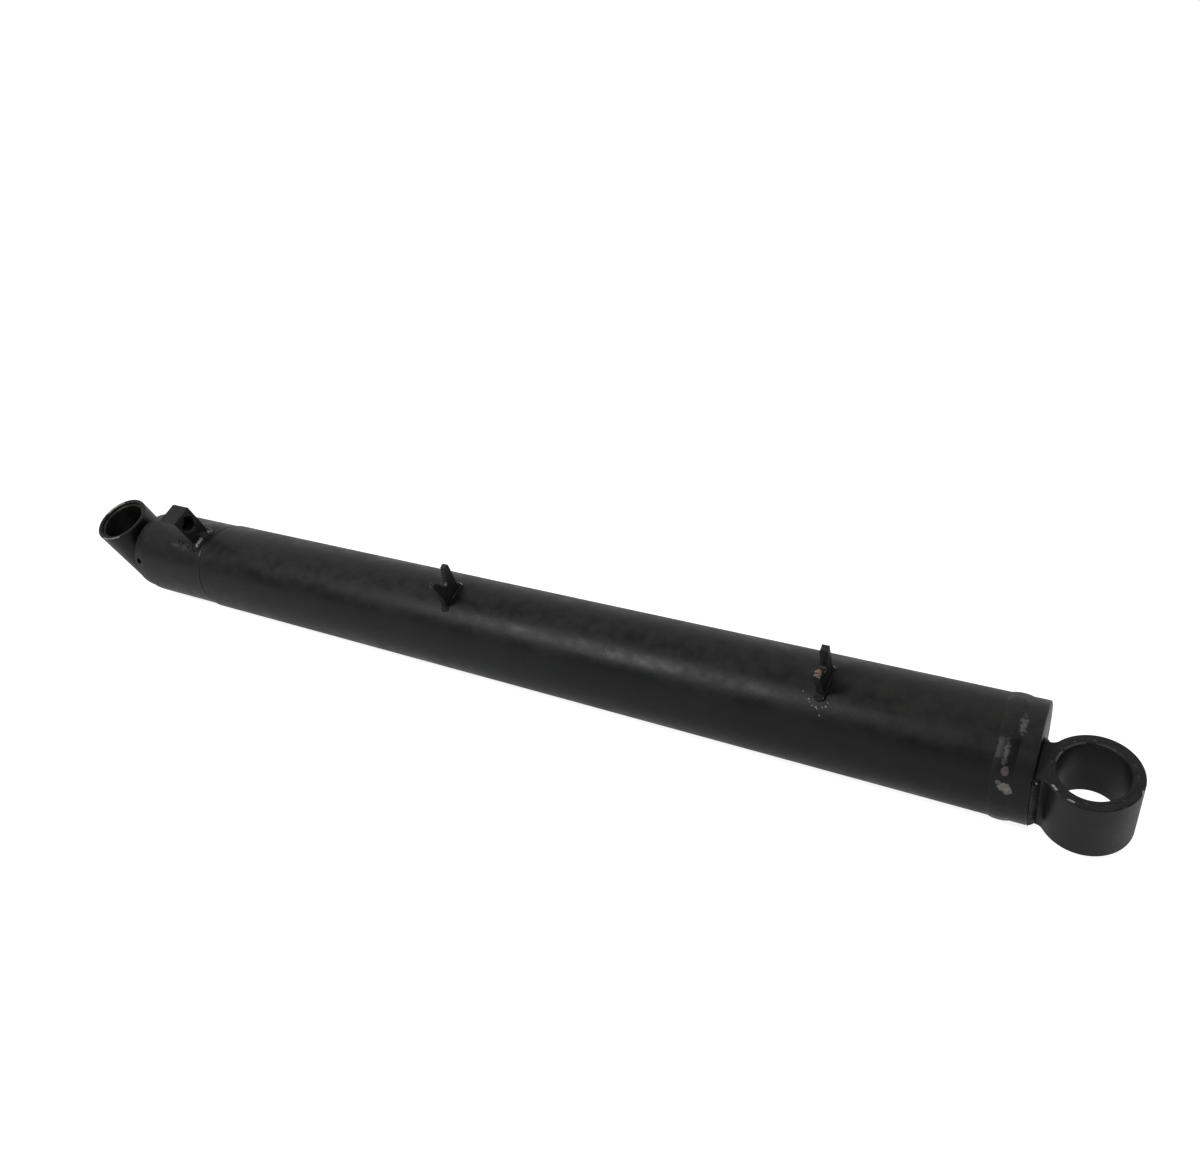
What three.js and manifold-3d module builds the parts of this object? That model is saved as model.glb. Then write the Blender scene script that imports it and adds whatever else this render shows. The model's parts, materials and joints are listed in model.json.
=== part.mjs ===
// Welded double-acting hydraulic cylinder, fully retracted: a seamless barrel with a ported head collar, a
// threaded gland, a base lug eye, and a rod with a cross-tube eye. Millimetres, +Z up, bore axis along X.
// The rod eye is at the -X end. Stations run along the bore from the base cap's end face to the rod eye.
// A tilt turns a direction about X, from +Z towards -Y. Neighbouring solids keep the clearance `gap`.
import * as THREE from "three";
import { mergeVertices } from "three/addons/utils/BufferGeometryUtils.js";
import Module from "manifold-3d";

const wasm = await Module();
wasm.setup();

// ---- driving dimensions -------------------------------------------------------------------------------
const gap = 0.3;
const brokenEdge = 0.4;
const sides = { large: 64, medium: 36, small: 24, hole: 14 };
const arcSteps = { ring: 44, corner: 4, fillet: 5, crown: 6, seal: 8, smallSeal: 6 };
// A cutting tool stands `overcut` proud of a face that it opens, and one that passes right through is
// `through` long.
const overcut = 1;
const through = 200;
const tilt = { line: 34.5, rodEye: 35.2, baseEye: 25, basePort: -90, spanner: 89.5 };

const barrel = { outerR: 38.1, boreR: 31.75, start: 16, end: 699 };
const cap = { edge: 0.8, rootR: 32.6, spigotEnd: 28, chamfer: 2 };
const capWeld = { from: 10.2, to: 22.6, lap: 1.2, crown: 1.2, rootHalf: 0.9, depth: 4.8 };
const seam = { width: 1.6, depth: 4, recess: 0.5, edge: 0.2 };
const collar = { outerR: 37.25, end: 782, threadR: 33.5, threadFrom: 752, relief: 2, edge: 0.8 };
const gland = { end: 794.3, flangeR: 36.4, faceR: 35.6, threadR: 33.1, landFrom: 741 };
const nose = { r: 27.5, end: 700, edge: 1 };
const glandFace = { recessR: 27.5, recessFloorR: 24.6, recess: 4.8, edge: 1 };
const spanner = { holeR: 3, depth: 6, inset: 7.1, count: 2 };

const lug = { ringR: 26.35, reach: 29.1, offset: -14.3, halfThickness: 22.85, edge: 0.9 };
const neck = { half: 14, fillet: 6 };
const lugWeld = { leg: 4, halfLength: 18.5 };
const pin = { boreR: 19.2, bushR: 22.05, edge: 1 };

const rod = { r: 19.05, stepR: 12.7, edge: 1.5, end: 31.6 };
const eyeTube = { r: 24.9, upper: 40.5, lower: 29.2, edge: 0.7, boreEdge: 1, faceGap: 3.1 };
const eyeBush = { r: 21.3, recess: 2.2 };
const eyeWeld = { leg: 3.5 };

const piston = { r: 31.4, from: 52.4, to: 90.4, edge: 1.2 };
const nut = { acrossFlats: 38, thickness: 19, edge: 1.5 };
const slipperShare = 0.4;

const port = { half: 10, top: 69.5, sink: 2, drillR: 3 };
const portHole = { r: 6.6, edge: 1.3, height: 58, depth: 14.5 };
const portStation = { rod: 720.5, base: 41 };
const portWeld = { legX: 5.5, legY: 4.2, height: 6.2, corner: 4, top: 0.6 };

const bracketStations = { front: 425, rear: 128 };
const bracket = { thickness: 4.8, sink: 2, footHalf: 10.6, waistHalf: 9.6, waistRise: 9 };
const bracketArms = { half: 11.5, top: 64.6, tipWidth: 4.6, shoulder: 1.5, cornerCut: 1.2, slope: 1 };
const notch = { r: 3.2, height: 56 };
const bracketWeld = { legX: 2, legY: 3.4, height: 4, corner: 2, top: 0.6 };

const eyeStation = gland.end + eyeTube.faceGap + eyeTube.r;

// ---- materials ----------------------------------------------------------------------------------------
const paint = { color: 0x26282a, roughness: 0.42, metalness: 0.1 };
const finish = {
  paint,
  weld: { ...paint, color: 0x2f3132, roughness: 0.5 },
  chrome: { color: 0xd5d8dc, roughness: 0.08, metalness: 1 },
  steel: { color: 0x8d9094, roughness: 0.35, metalness: 1 },
  bushing: { color: 0x5d5c58, roughness: 0.4, metalness: 1 },
  iron: { color: 0x55585b, roughness: 0.5, metalness: 0.8 },
  polymer: { color: 0x9fb4c4, roughness: 0.45, metalness: 0 },
  urethane: { color: 0x3f6fa8, roughness: 0.35, metalness: 0 },
  bronzeFilled: { color: 0x7a5a35, roughness: 0.5, metalness: 0.1 },
  rubber: { color: 0x151515, roughness: 0.7, metalness: 0 },
};

// ---- geometry helpers ---------------------------------------------------------------------------------
function signedVolume(position, index) {
  const a = new THREE.Vector3();
  const b = new THREE.Vector3();
  const c = new THREE.Vector3();
  let volume = 0;
  for (let i = 0; i < index.length; i += 3) {
    a.fromBufferAttribute(position, index[i]);
    b.fromBufferAttribute(position, index[i + 1]);
    c.fromBufferAttribute(position, index[i + 2]);
    volume += a.dot(b.cross(c)) / 6;
  }
  return volume;
}

// Merges shared vertices, drops the collapsed triangles at a pole, and turns every face outwards.
function closed(geometry) {
  geometry.deleteAttribute("normal");
  geometry.deleteAttribute("uv");
  const merged = mergeVertices(geometry);
  const all = merged.index.array;
  const kept = [];
  for (let i = 0; i < all.length; i += 3) {
    const [a, b, c] = [all[i], all[i + 1], all[i + 2]];
    if (a !== b && b !== c && a !== c) kept.push(a, b, c);
  }
  if (signedVolume(merged.attributes.position, kept) < 0) kept.reverse();
  merged.setIndex(kept);
  return merged;
}

function solid(geometry) {
  const merged = closed(geometry);
  const vertProperties = new Float32Array(merged.attributes.position.array);
  const triVerts = new Uint32Array(merged.index.array);
  return new wasm.Manifold(new wasm.Mesh({ numProp: 3, vertProperties, triVerts }));
}

function surface(manifold) {
  const { vertProperties, triVerts } = manifold.getMesh();
  const geometry = new THREE.BufferGeometry();
  geometry.setAttribute("position", new THREE.BufferAttribute(new Float32Array(vertProperties), 3));
  geometry.setIndex(Array.from(triVerts));
  return geometry;
}

function cut(geometry, ...tools) {
  return surface(tools.reduce((body, tool) => body.subtract(solid(tool)), solid(geometry)));
}

// A body of revolution about the bore axis, from [station, radius] points.
function turned(profile, segments) {
  const points = profile.map(([station, radius]) => new THREE.Vector2(radius, station));
  return new THREE.LatheGeometry(points, segments).rotateZ(Math.PI / 2);
}

function turnedRing(profile, segments) {
  return turned([...profile, profile[0]], segments);
}

// A ring of rectangular section with broken outer corners.
function plainRing(from, to, innerR, outerR, edge, segments) {
  const profile = [[from, innerR], [to, innerR], [to, outerR - edge], [to - edge, outerR]];
  return turnedRing([...profile, [from + edge, outerR], [from, outerR - edge]], segments);
}

// A ring of round section.
function roundRing(station, middleR, sectionR, segments, facets = arcSteps.seal) {
  const turns = Array.from({ length: facets }, (_, i) => (2 * Math.PI * i) / facets);
  const profile = turns.map((t) => [station + sectionR * Math.cos(t), middleR + sectionR * Math.sin(t)]);
  return turnedRing(profile, segments);
}

function arc(centreX, centreY, r, from, to, steps) {
  return Array.from({ length: steps + 1 }, (_, i) => {
    const t = from + ((to - from) * i) / steps;
    return [centreX + r * Math.cos(t), centreY + r * Math.sin(t)];
  });
}

function outline(points) {
  return new THREE.Shape(points.map(([x, y]) => new THREE.Vector2(x, y)));
}

// A plate of the outline, centred on its own thickness, with bevelled rims when `edge` is above zero.
function plate(shape, thickness, edge, curveSegments) {
  const bevel = { bevelEnabled: edge > 0, bevelSize: edge, bevelThickness: edge, bevelOffset: -edge };
  const options = { depth: thickness - 2 * edge, bevelSegments: 1, curveSegments, ...bevel };
  return new THREE.ExtrudeGeometry(shape, options).translate(0, 0, edge - thickness / 2);
}

// A cylinder along the local X, Y or Z axis, centred on the origin.
function rodAlong(axis, r, length, segments) {
  const geometry = new THREE.CylinderGeometry(r, r, length, segments);
  if (axis === "x") geometry.rotateZ(Math.PI / 2);
  if (axis === "z") geometry.rotateX(Math.PI / 2);
  return geometry;
}

// The 45-degree countersink of a hole of radius r whose mouth lies at y = 0 and opens towards +Y.
function flare(r, edge, segments) {
  const height = edge + overcut;
  const cone = new THREE.CylinderGeometry(r + height, r, height, segments);
  return cone.translate(0, (overcut - edge) / 2, 0);
}

// A prism of 2-D loops at two heights: the lower loop wider than the upper one gives a sloped skirt.
function loft(lower, upper, lowZ, highZ) {
  const n = lower.length;
  const ring = (loop, z) => loop.flatMap(([x, y]) => [x, y, z]);
  const positions = [...ring(lower, lowZ), ...ring(upper, highZ), 0, 0, lowZ, 0, 0, highZ];
  const index = [];
  for (let i = 0; i < n; i += 1) {
    const j = (i + 1) % n;
    index.push(i, j, n + j, i, n + j, n + i, j, i, 2 * n, n + i, n + j, 2 * n + 1);
  }
  const geometry = new THREE.BufferGeometry();
  geometry.setAttribute("position", new THREE.Float32BufferAttribute(positions, 3));
  geometry.setIndex(index);
  return geometry;
}

function roundedRectangle(halfX, halfY, corner) {
  const quarter = Math.PI / 2;
  const corners = [[1, 1, 0], [-1, 1, 1], [-1, -1, 2], [1, -1, 3]];
  return corners.flatMap(([sx, sy, turn]) => {
    const centre = [sx * (halfX - corner), sy * (halfY - corner)];
    return arc(centre[0], centre[1], corner, turn * quarter, (turn + 1) * quarter, arcSteps.corner);
  });
}

const cylinder = new THREE.Group();

function add(name, geometry, look, parent = cylinder) {
  const mesh = new THREE.Mesh(closed(geometry), new THREE.MeshStandardMaterial(look));
  mesh.name = name;
  parent.add(mesh);
  return mesh;
}

// A frame turned about the bore axis: its Z points out at the tilt, its X stays along the bore.
function sideFrame(tiltDegrees, station = 0, parent = cylinder) {
  const frame = new THREE.Group();
  frame.rotation.x = THREE.MathUtils.degToRad(tiltDegrees);
  frame.position.x = -station;
  parent.add(frame);
  return frame;
}

// ---- barrel -------------------------------------------------------------------------------------------
// A radial oil drilling for a port block, as a cutting tool placed at its station and tilt.
function drilling(station, tiltDegrees) {
  const depth = barrel.outerR;
  const tool = rodAlong("z", port.drillR, depth, sides.hole).translate(0, 0, depth);
  return tool.rotateX(THREE.MathUtils.degToRad(tiltDegrees)).translate(-station, 0, 0);
}

function addBarrelTube() {
  const bevelStart = capWeld.to - capWeld.lap;
  const profile = [
    [barrel.start + capWeld.rootHalf, barrel.boreR], [barrel.end - gap, barrel.boreR],
    [barrel.end - gap, barrel.outerR - brokenEdge], [barrel.end - gap - brokenEdge, barrel.outerR],
    [bevelStart, barrel.outerR], [barrel.start + capWeld.rootHalf, barrel.outerR - capWeld.depth],
  ];
  const bored = cut(turnedRing(profile, sides.large), drilling(portStation.base, tilt.basePort));
  add("barrel_tube", bored, finish.paint);
}

function addBaseCap() {
  const weldEdge = capWeld.from + capWeld.lap;
  const root = barrel.start - capWeld.rootHalf;
  const spigotR = barrel.boreR - gap;
  const profile = [
    [0, 0], [0, barrel.outerR - cap.edge], [cap.edge, barrel.outerR], [weldEdge, barrel.outerR],
    [root, cap.rootR], [root, spigotR], [cap.spigotEnd - cap.chamfer, spigotR],
    [cap.spigotEnd, spigotR - cap.chamfer], [cap.spigotEnd, 0],
  ];
  add("base_cap", turned(profile, sides.large), finish.paint);
}

// The girth weld fills the V groove between cap and tube, laps over both edges and ends in a low crown.
function addBaseCapWeld() {
  const { from, to, lap } = capWeld;
  const middle = (from + to) / 2;
  const half = (to - from) / 2;
  const crown = Array.from({ length: arcSteps.crown + 1 }, (_, i) => {
    const t = (2 * i) / arcSteps.crown - 1;
    return [middle + half * t, barrel.outerR + gap + (capWeld.crown - gap) * (1 - t * t)];
  });
  const rootR = barrel.outerR - capWeld.depth + gap;
  const rootHalf = capWeld.rootHalf - gap;
  const underR = barrel.outerR + gap;
  const sidesOfGroove = [[from + lap + gap, underR], ...crown, [to - lap - gap, underR]];
  const profile = [[barrel.start - rootHalf, rootR], ...sidesOfGroove, [barrel.start + rootHalf, rootR]];
  add("base_cap_weld", turnedRing(profile, sides.medium), finish.weld);
}

function addHeadCollar() {
  const start = barrel.end + seam.width + gap;
  const profile = [
    [start, barrel.boreR], [collar.threadFrom - collar.relief, barrel.boreR],
    [collar.threadFrom, collar.threadR], [collar.end, collar.threadR],
    [collar.end, collar.outerR - collar.edge], [collar.end - collar.edge, collar.outerR],
    [start + brokenEdge, collar.outerR], [start, collar.outerR - brokenEdge],
  ];
  const bored = cut(turnedRing(profile, sides.large), drilling(portStation.rod, tilt.line));
  add("head_collar", bored, finish.paint);
  const seamR = collar.outerR - seam.recess;
  const from = barrel.end;
  const ring = plainRing(from, from + seam.width, seamR - seam.depth, seamR, seam.edge, sides.medium);
  add("collar_seam_weld", ring, finish.weld);
}

// ---- base lug eye -------------------------------------------------------------------------------------
// Outline of the lug seen along its pin: a ring that a short neck joins to the cap, with concave fillets.
function lugOutline() {
  const reachY = neck.half + neck.fillet;
  const reachX = Math.sqrt((lug.ringR + neck.fillet) ** 2 - reachY ** 2);
  const filletX = lug.reach - reachX;
  const meet = Math.atan2(reachY, -reachX);
  const ring = arc(lug.reach, 0, lug.ringR, -meet, meet, arcSteps.ring);
  const steps = arcSteps.fillet;
  const upper = arc(filletX, reachY, neck.fillet, meet - Math.PI, -Math.PI / 2, steps).slice(1);
  const lower = arc(filletX, -reachY, neck.fillet, Math.PI / 2, Math.PI - meet, steps).slice(0, -1);
  return [...ring, ...upper, [gap, neck.half], [gap, -neck.half], ...lower];
}

// The fillet beads run along both flanks of the neck, in the corner between the neck and the cap's face.
function lugWeldBead(side) {
  const start = side * (neck.half + gap);
  const curve = arc(gap, start, lugWeld.leg, 0, (side * Math.PI) / 2, arcSteps.corner);
  return plate(outline([[gap, start], ...curve]), 2 * lugWeld.halfLength, 0, 1);
}

function pinBush(outerR, halfLength) {
  const outside = rodAlong("z", outerR, 2 * halfLength, sides.medium);
  const inner = rodAlong("z", pin.boreR, through, sides.medium);
  const mouth = () => {
    const cone = flare(pin.boreR, pin.edge, sides.medium).rotateX(Math.PI / 2);
    return cone.translate(0, 0, halfLength);
  };
  return cut(outside, inner, mouth(), mouth().rotateX(Math.PI));
}

function addBaseEye() {
  const frame = sideFrame(tilt.baseEye);
  const blank = plate(outline(lugOutline()), 2 * lug.halfThickness, lug.edge, 1);
  const seat = rodAlong("z", pin.bushR + gap, through, sides.medium).translate(lug.reach, 0, 0);
  add("base_eye", cut(blank, seat), finish.paint, frame).position.y = lug.offset;
  const bush = add("base_eye_bushing", pinBush(pin.bushR, lug.halfThickness), finish.bushing, frame);
  bush.position.set(lug.reach, lug.offset, 0);
  add("base_eye_weld_upper", lugWeldBead(1), finish.weld, frame).position.y = lug.offset;
  add("base_eye_weld_lower", lugWeldBead(-1), finish.weld, frame).position.y = lug.offset;
}

// ---- ports and line brackets --------------------------------------------------------------------------
// A square block with a threaded port that faces the base end, drilled down into the bore.
function portBlock(seatR) {
  const height = port.top - seatR + port.sink;
  const block = new THREE.BoxGeometry(2 * port.half, 2 * port.half, height);
  block.translate(0, 0, port.top - height / 2);
  const seat = rodAlong("x", seatR + gap, through, sides.large);
  const hole = rodAlong("x", portHole.r, 2 * portHole.depth, sides.hole);
  hole.translate(port.half, 0, portHole.height);
  const mouth = flare(portHole.r, portHole.edge, sides.hole).rotateZ(-Math.PI / 2);
  mouth.translate(port.half, 0, portHole.height);
  const drill = rodAlong("z", port.drillR, portHole.height, sides.hole).translate(0, 0, portHole.height / 2);
  return cut(block, seat, hole, mouth, drill);
}

// A sloped bead of weld around the foot of a piece that stands on a cylinder of radius seatR.
function footWeld(halfX, halfY, { legX, legY, height, corner, top }, seatR) {
  const lower = roundedRectangle(halfX + gap + legX, halfY + gap + legY, corner);
  const upper = roundedRectangle(halfX + gap + top, halfY + gap + top, top + brokenEdge);
  const low = Math.sqrt(seatR ** 2 - (halfY + legY) ** 2) - overcut;
  const skirt = loft(lower, upper, low, seatR + height);
  const core = new THREE.BoxGeometry(2 * (halfX + gap), 2 * (halfY + gap), through);
  const seat = rodAlong("x", seatR + gap, through, sides.large);
  return cut(skirt, core, seat);
}

function addPort(name, station, tiltDegrees, seatR) {
  const frame = sideFrame(tiltDegrees, station);
  add(`${name}_port_block`, portBlock(seatR), finish.paint, frame);
  add(`${name}_port_weld`, footWeld(port.half, port.half, portWeld, seatR), finish.weld, frame);
}

// Half of the bracket's outline: foot, waist, arm tip, and the side of the V notch down to its round root.
function bracketSide(side) {
  const { half, top, tipWidth, shoulder, cornerCut, slope } = bracketArms;
  const foot = Math.sqrt(barrel.outerR ** 2 - bracket.footHalf ** 2);
  const root = arc(0, notch.height, notch.r, 0, -Math.PI / 2, arcSteps.corner);
  const points = [
    [bracket.footHalf, foot - bracket.sink], [bracket.waistHalf, foot + bracket.waistRise],
    [half, top - shoulder], [half - cornerCut, top], [half - tipWidth, top - slope], ...root,
  ];
  return points.map(([y, z]) => [side * y, z]);
}

function bracketPlate() {
  const shape = outline([...bracketSide(1), ...bracketSide(-1).reverse().slice(1)]);
  const blank = plate(shape, bracket.thickness, 0, 1).rotateX(Math.PI / 2).rotateZ(Math.PI / 2);
  return cut(blank, rodAlong("x", barrel.outerR + gap, through, sides.large));
}

function addBracket(name, station) {
  const frame = sideFrame(tilt.line, station);
  add(`line_bracket_${name}`, bracketPlate(), finish.paint, frame);
  const bead = footWeld(bracket.thickness / 2, bracket.footHalf, bracketWeld, barrel.outerR);
  add(`line_bracket_weld_${name}`, bead, finish.weld, frame);
}

// ---- gland and its seals ------------------------------------------------------------------------------
// Each groove's ends along the bore, its floor, and the corner break of the ring that lies in it.
const groove = {
  wiper: { from: 784.1, to: gland.end - glandFace.recess, r: glandFace.recessFloorR, edge: 0.8 },
  rodSeal: { from: 771, to: 779, r: 24.6, edge: 1.2 },
  buffer: { from: 759, to: 765, r: 24.2, edge: 0.9 },
  wear: { from: 712, to: 734, r: 21.6, edge: 0.3 },
  gland: { from: 743.5, to: 749.5, r: 28.3, edge: 0.2 },
  pistonSeal: { from: 67.4, to: 75.4, r: 25.6, edge: 0.3 },
  pistonWear: [{ from: 55.6, to: 63.6, r: 28.7, edge: 0.3 }, { from: 79.2, to: 87.2, r: 28.7, edge: 0.3 }],
  pistonStatic: { from: 70.2, to: 73.4, r: 15.4 },
};

function addGland() {
  const rodBoreR = rod.r + gap;
  const { wiper, rodSeal, buffer, wear } = groove;
  const shoulder = collar.end + gap;
  const recessFrom = gland.end - glandFace.recess;
  const inner = [wear, buffer, rodSeal].flatMap(({ from, to, r }) => (
    [[from, rodBoreR], [from, r], [to, r], [to, rodBoreR]]
  ));
  const face = [
    [wiper.from, rodBoreR], [wiper.from, wiper.r], [recessFrom, wiper.r], [gland.end, glandFace.recessR],
    [gland.end, gland.faceR - glandFace.edge], [gland.end - glandFace.edge, gland.faceR],
    [shoulder, gland.flangeR], [shoulder, gland.threadR], [collar.threadFrom + gap, gland.threadR],
  ];
  const landR = barrel.boreR - gap;
  const still = groove.gland;
  const land = [
    [collar.threadFrom - collar.relief, landR], [still.to, landR], [still.to, still.r], [still.from, still.r],
    [still.from, landR], [gland.landFrom + nose.edge, landR], [gland.landFrom, nose.r],
    [nose.end + nose.edge, nose.r], [nose.end, nose.r - nose.edge],
  ];
  const profile = [[nose.end, rodBoreR], ...inner, ...face, ...land];
  const holes = Array.from({ length: spanner.count }, (_, i) => {
    const turn = THREE.MathUtils.degToRad(tilt.spanner + (360 * i) / spanner.count);
    const tool = rodAlong("z", spanner.holeR, 2 * spanner.depth, sides.hole).translate(0, 0, gland.faceR);
    return tool.rotateX(turn).translate(spanner.inset - gland.end, 0, 0);
  });
  add("head_gland", cut(turnedRing(profile, sides.medium), ...holes), finish.paint);
}

// A seal ring that fills its groove but for the gap, and reaches to the moving surface at radius `toR`.
function packing({ from, to, r, edge }, toR, segments = sides.small) {
  const low = Math.min(r, toR) + gap;
  const high = Math.max(r, toR) - gap;
  return plainRing(from + gap, to - gap, low, high, edge, segments);
}

function addGlandSeals() {
  const { wiper, rodSeal, buffer, wear } = groove;
  add("rod_wiper", packing(wiper, rod.r), finish.urethane);
  add("rod_seal", packing(rodSeal, rod.r), finish.urethane);
  add("rod_buffer_seal", packing(buffer, rod.r), finish.bronzeFilled);
  add("rod_wear_band", packing(wear, rod.r), finish.bronzeFilled);
  const { from, to, r, edge } = groove.gland;
  const sectionR = (barrel.boreR - r) / 2 - gap;
  const ring = roundRing(from + gap + sectionR, r + gap + sectionR, sectionR, sides.small);
  add("gland_o_ring", ring, finish.rubber);
  const backupFrom = from + 3 * gap + 2 * sectionR;
  const backup = plainRing(backupFrom, to - gap, r + gap, barrel.boreR - gap, edge, sides.small);
  add("gland_backup_ring", backup, finish.polymer);
}

// ---- piston, rod and rod eye --------------------------------------------------------------------------
function addPiston() {
  const boreR = rod.stepR + gap;
  const outer = [groove.pistonWear[1], groove.pistonSeal, groove.pistonWear[0]].flatMap(({ from, to, r }) => (
    [[to, piston.r], [to, r], [from, r], [from, piston.r]]
  ));
  const still = groove.pistonStatic;
  const profile = [
    [piston.from, boreR], [still.from, boreR], [still.from, still.r], [still.to, still.r], [still.to, boreR],
    [piston.to, boreR], [piston.to, piston.r - piston.edge], [piston.to - piston.edge, piston.r],
    ...outer, [piston.from + piston.edge, piston.r], [piston.from, piston.r - piston.edge],
  ];
  add("piston", turnedRing(profile, sides.medium), finish.iron);
  const sectionR = (still.r - rod.stepR - 2 * gap) / 2;
  const middle = (still.from + still.to) / 2;
  const ring = roundRing(middle, rod.stepR + gap + sectionR, sectionR, sides.small, arcSteps.smallSeal);
  add("piston_static_o_ring", ring, finish.rubber);
}

function addPistonRings() {
  const seal = groove.pistonSeal;
  const split = piston.r - (piston.r - seal.r) * slipperShare;
  add("piston_seal_energizer", packing({ ...seal, edge: 2 * seal.edge }, split + gap), finish.rubber);
  add("piston_seal", packing({ ...seal, r: split }, barrel.boreR, sides.medium), finish.polymer);
  groove.pistonWear.forEach((band, i) => {
    add(`piston_wear_band_${i + 1}`, packing(band, barrel.boreR, sides.medium), finish.bronzeFilled);
  });
}

function addPistonNut() {
  const cornerR = nut.acrossFlats / 2 / Math.cos(Math.PI / 6);
  const corners = Array.from({ length: 6 }, (_, i) => {
    const t = (Math.PI * i) / 3;
    return [cornerR * Math.cos(t), cornerR * Math.sin(t)];
  });
  const end = piston.from - gap;
  const blank = plate(outline(corners), nut.thickness, nut.edge, 1).rotateY(Math.PI / 2);
  blank.translate(nut.thickness / 2 - end, 0, 0);
  const bore = rodAlong("x", rod.stepR + gap, 2 * nut.thickness, sides.small).translate(-end, 0, 0);
  add("piston_nut", cut(blank, bore), finish.steel);
}

// The rod's outer end is coped to the cross tube; the bead fills the corner around that saddle.
function addRod() {
  const shoulder = piston.to + gap;
  const reach = eyeStation - gap;
  const profile = [
    [rod.end, 0], [rod.end, rod.stepR - rod.edge], [rod.end + rod.edge, rod.stepR], [shoulder, rod.stepR],
    [shoulder, rod.r - rod.edge], [shoulder + rod.edge, rod.r], [reach, rod.r], [reach, 0],
  ];
  const saddle = (r) => {
    const turn = THREE.MathUtils.degToRad(tilt.rodEye);
    return rodAlong("z", r, through, sides.large).rotateX(turn).translate(-eyeStation, 0, 0);
  };
  add("piston_rod", cut(turned(profile, sides.medium), saddle(eyeTube.r + gap)), finish.chrome);
  const beadR = rod.r + gap + eyeWeld.leg;
  const sleeve = rodAlong("x", beadR, 2 * eyeTube.r, sides.medium).translate(eyeTube.r - eyeStation, 0, 0);
  const core = rodAlong("x", rod.r + gap, through, sides.medium).translate(-eyeStation, 0, 0);
  const bead = solid(sleeve).intersect(solid(saddle(eyeTube.r + gap + eyeWeld.leg)));
  const trimmed = bead.subtract(solid(saddle(eyeTube.r + gap))).subtract(solid(core));
  add("rod_eye_weld", surface(trimmed), finish.weld);
}

// The cross tube reaches further from the rod's axis at its upper end than at its lower one.
function addRodEye() {
  const frame = sideFrame(tilt.rodEye, eyeStation);
  const { r, upper, lower, edge, boreEdge } = eyeTube;
  const halfLength = (upper + lower) / 2;
  const middle = (upper - lower) / 2;
  const seatR = eyeBush.r + gap;
  const section = [
    [seatR, boreEdge - halfLength], [seatR + boreEdge, -halfLength], [r - edge, -halfLength],
    [r, edge - halfLength], [r, halfLength - edge], [r - edge, halfLength],
    [seatR + boreEdge, halfLength], [seatR, halfLength - boreEdge],
  ];
  const points = [...section, section[0]].map(([x, y]) => new THREE.Vector2(x, y));
  const tube = new THREE.LatheGeometry(points, sides.medium).rotateX(Math.PI / 2);
  add("rod_eye", tube, finish.paint, frame).position.z = middle;
  const bush = pinBush(eyeBush.r, halfLength - eyeBush.recess);
  add("rod_eye_bushing", bush, finish.bushing, frame).position.z = middle;
}

// ---- assembly -----------------------------------------------------------------------------------------
addBarrelTube();
addBaseCap();
addBaseCapWeld();
addHeadCollar();
addBaseEye();
addPort("rod", portStation.rod, tilt.line, collar.outerR);
addPort("base", portStation.base, tilt.basePort, barrel.outerR);
addBracket("front", bracketStations.front);
addBracket("rear", bracketStations.rear);
addGland();
addGlandSeals();
addPiston();
addPistonRings();
addPistonNut();
addRod();
addRodEye();

// The origin is at the middle of the bounding box's floor.
const bounds = new THREE.Box3().setFromObject(cylinder, true);
const middle = bounds.getCenter(new THREE.Vector3());
cylinder.position.set(-middle.x, -middle.y, -bounds.min.z);

export default cylinder;
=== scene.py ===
import json
import math

import bmesh
import bpy
from mathutils import Matrix, Vector, noise
from mathutils.geometry import tessellate_polygon

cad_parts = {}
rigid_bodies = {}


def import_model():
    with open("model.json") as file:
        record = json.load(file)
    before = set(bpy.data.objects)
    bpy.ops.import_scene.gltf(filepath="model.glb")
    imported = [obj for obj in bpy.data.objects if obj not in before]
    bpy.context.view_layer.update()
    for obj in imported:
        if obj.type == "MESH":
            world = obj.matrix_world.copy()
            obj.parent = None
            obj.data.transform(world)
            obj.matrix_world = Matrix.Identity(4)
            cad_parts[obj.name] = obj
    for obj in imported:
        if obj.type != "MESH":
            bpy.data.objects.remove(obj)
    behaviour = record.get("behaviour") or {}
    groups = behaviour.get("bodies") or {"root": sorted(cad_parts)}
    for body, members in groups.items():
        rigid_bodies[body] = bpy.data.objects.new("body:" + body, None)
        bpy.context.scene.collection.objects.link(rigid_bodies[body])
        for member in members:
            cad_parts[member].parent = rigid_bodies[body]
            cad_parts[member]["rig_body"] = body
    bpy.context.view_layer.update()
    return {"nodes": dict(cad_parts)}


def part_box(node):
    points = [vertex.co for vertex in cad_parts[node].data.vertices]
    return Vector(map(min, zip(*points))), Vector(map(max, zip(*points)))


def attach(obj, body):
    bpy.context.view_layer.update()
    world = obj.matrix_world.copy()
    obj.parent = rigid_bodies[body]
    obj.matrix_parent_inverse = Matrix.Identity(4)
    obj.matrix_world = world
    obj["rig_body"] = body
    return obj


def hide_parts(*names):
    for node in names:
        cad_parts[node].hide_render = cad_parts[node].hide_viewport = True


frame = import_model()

MM = 0.001

# ---- driving dimensions, in millimetres and degrees ----
TILT = {"line": 34.5, "rod_eye": 35.2, "base_eye": 25, "base_port": -90, "spanner": 89.5}
RUNNING_GAP = 0.3
SEAT_GAP = 0.05
FOOT_SINK = 0.1
SEGMENTS = 192
FINE_SEGMENTS = 96


def extent(node, axis):
    low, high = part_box(node)
    return (high[axis] - low[axis]) / MM


cap_low, cap_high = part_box("base_cap")
CAP_FACE = Vector((cap_high.x, (cap_low.y + cap_high.y) / 2, (cap_low.z + cap_high.z) / 2))


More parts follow.
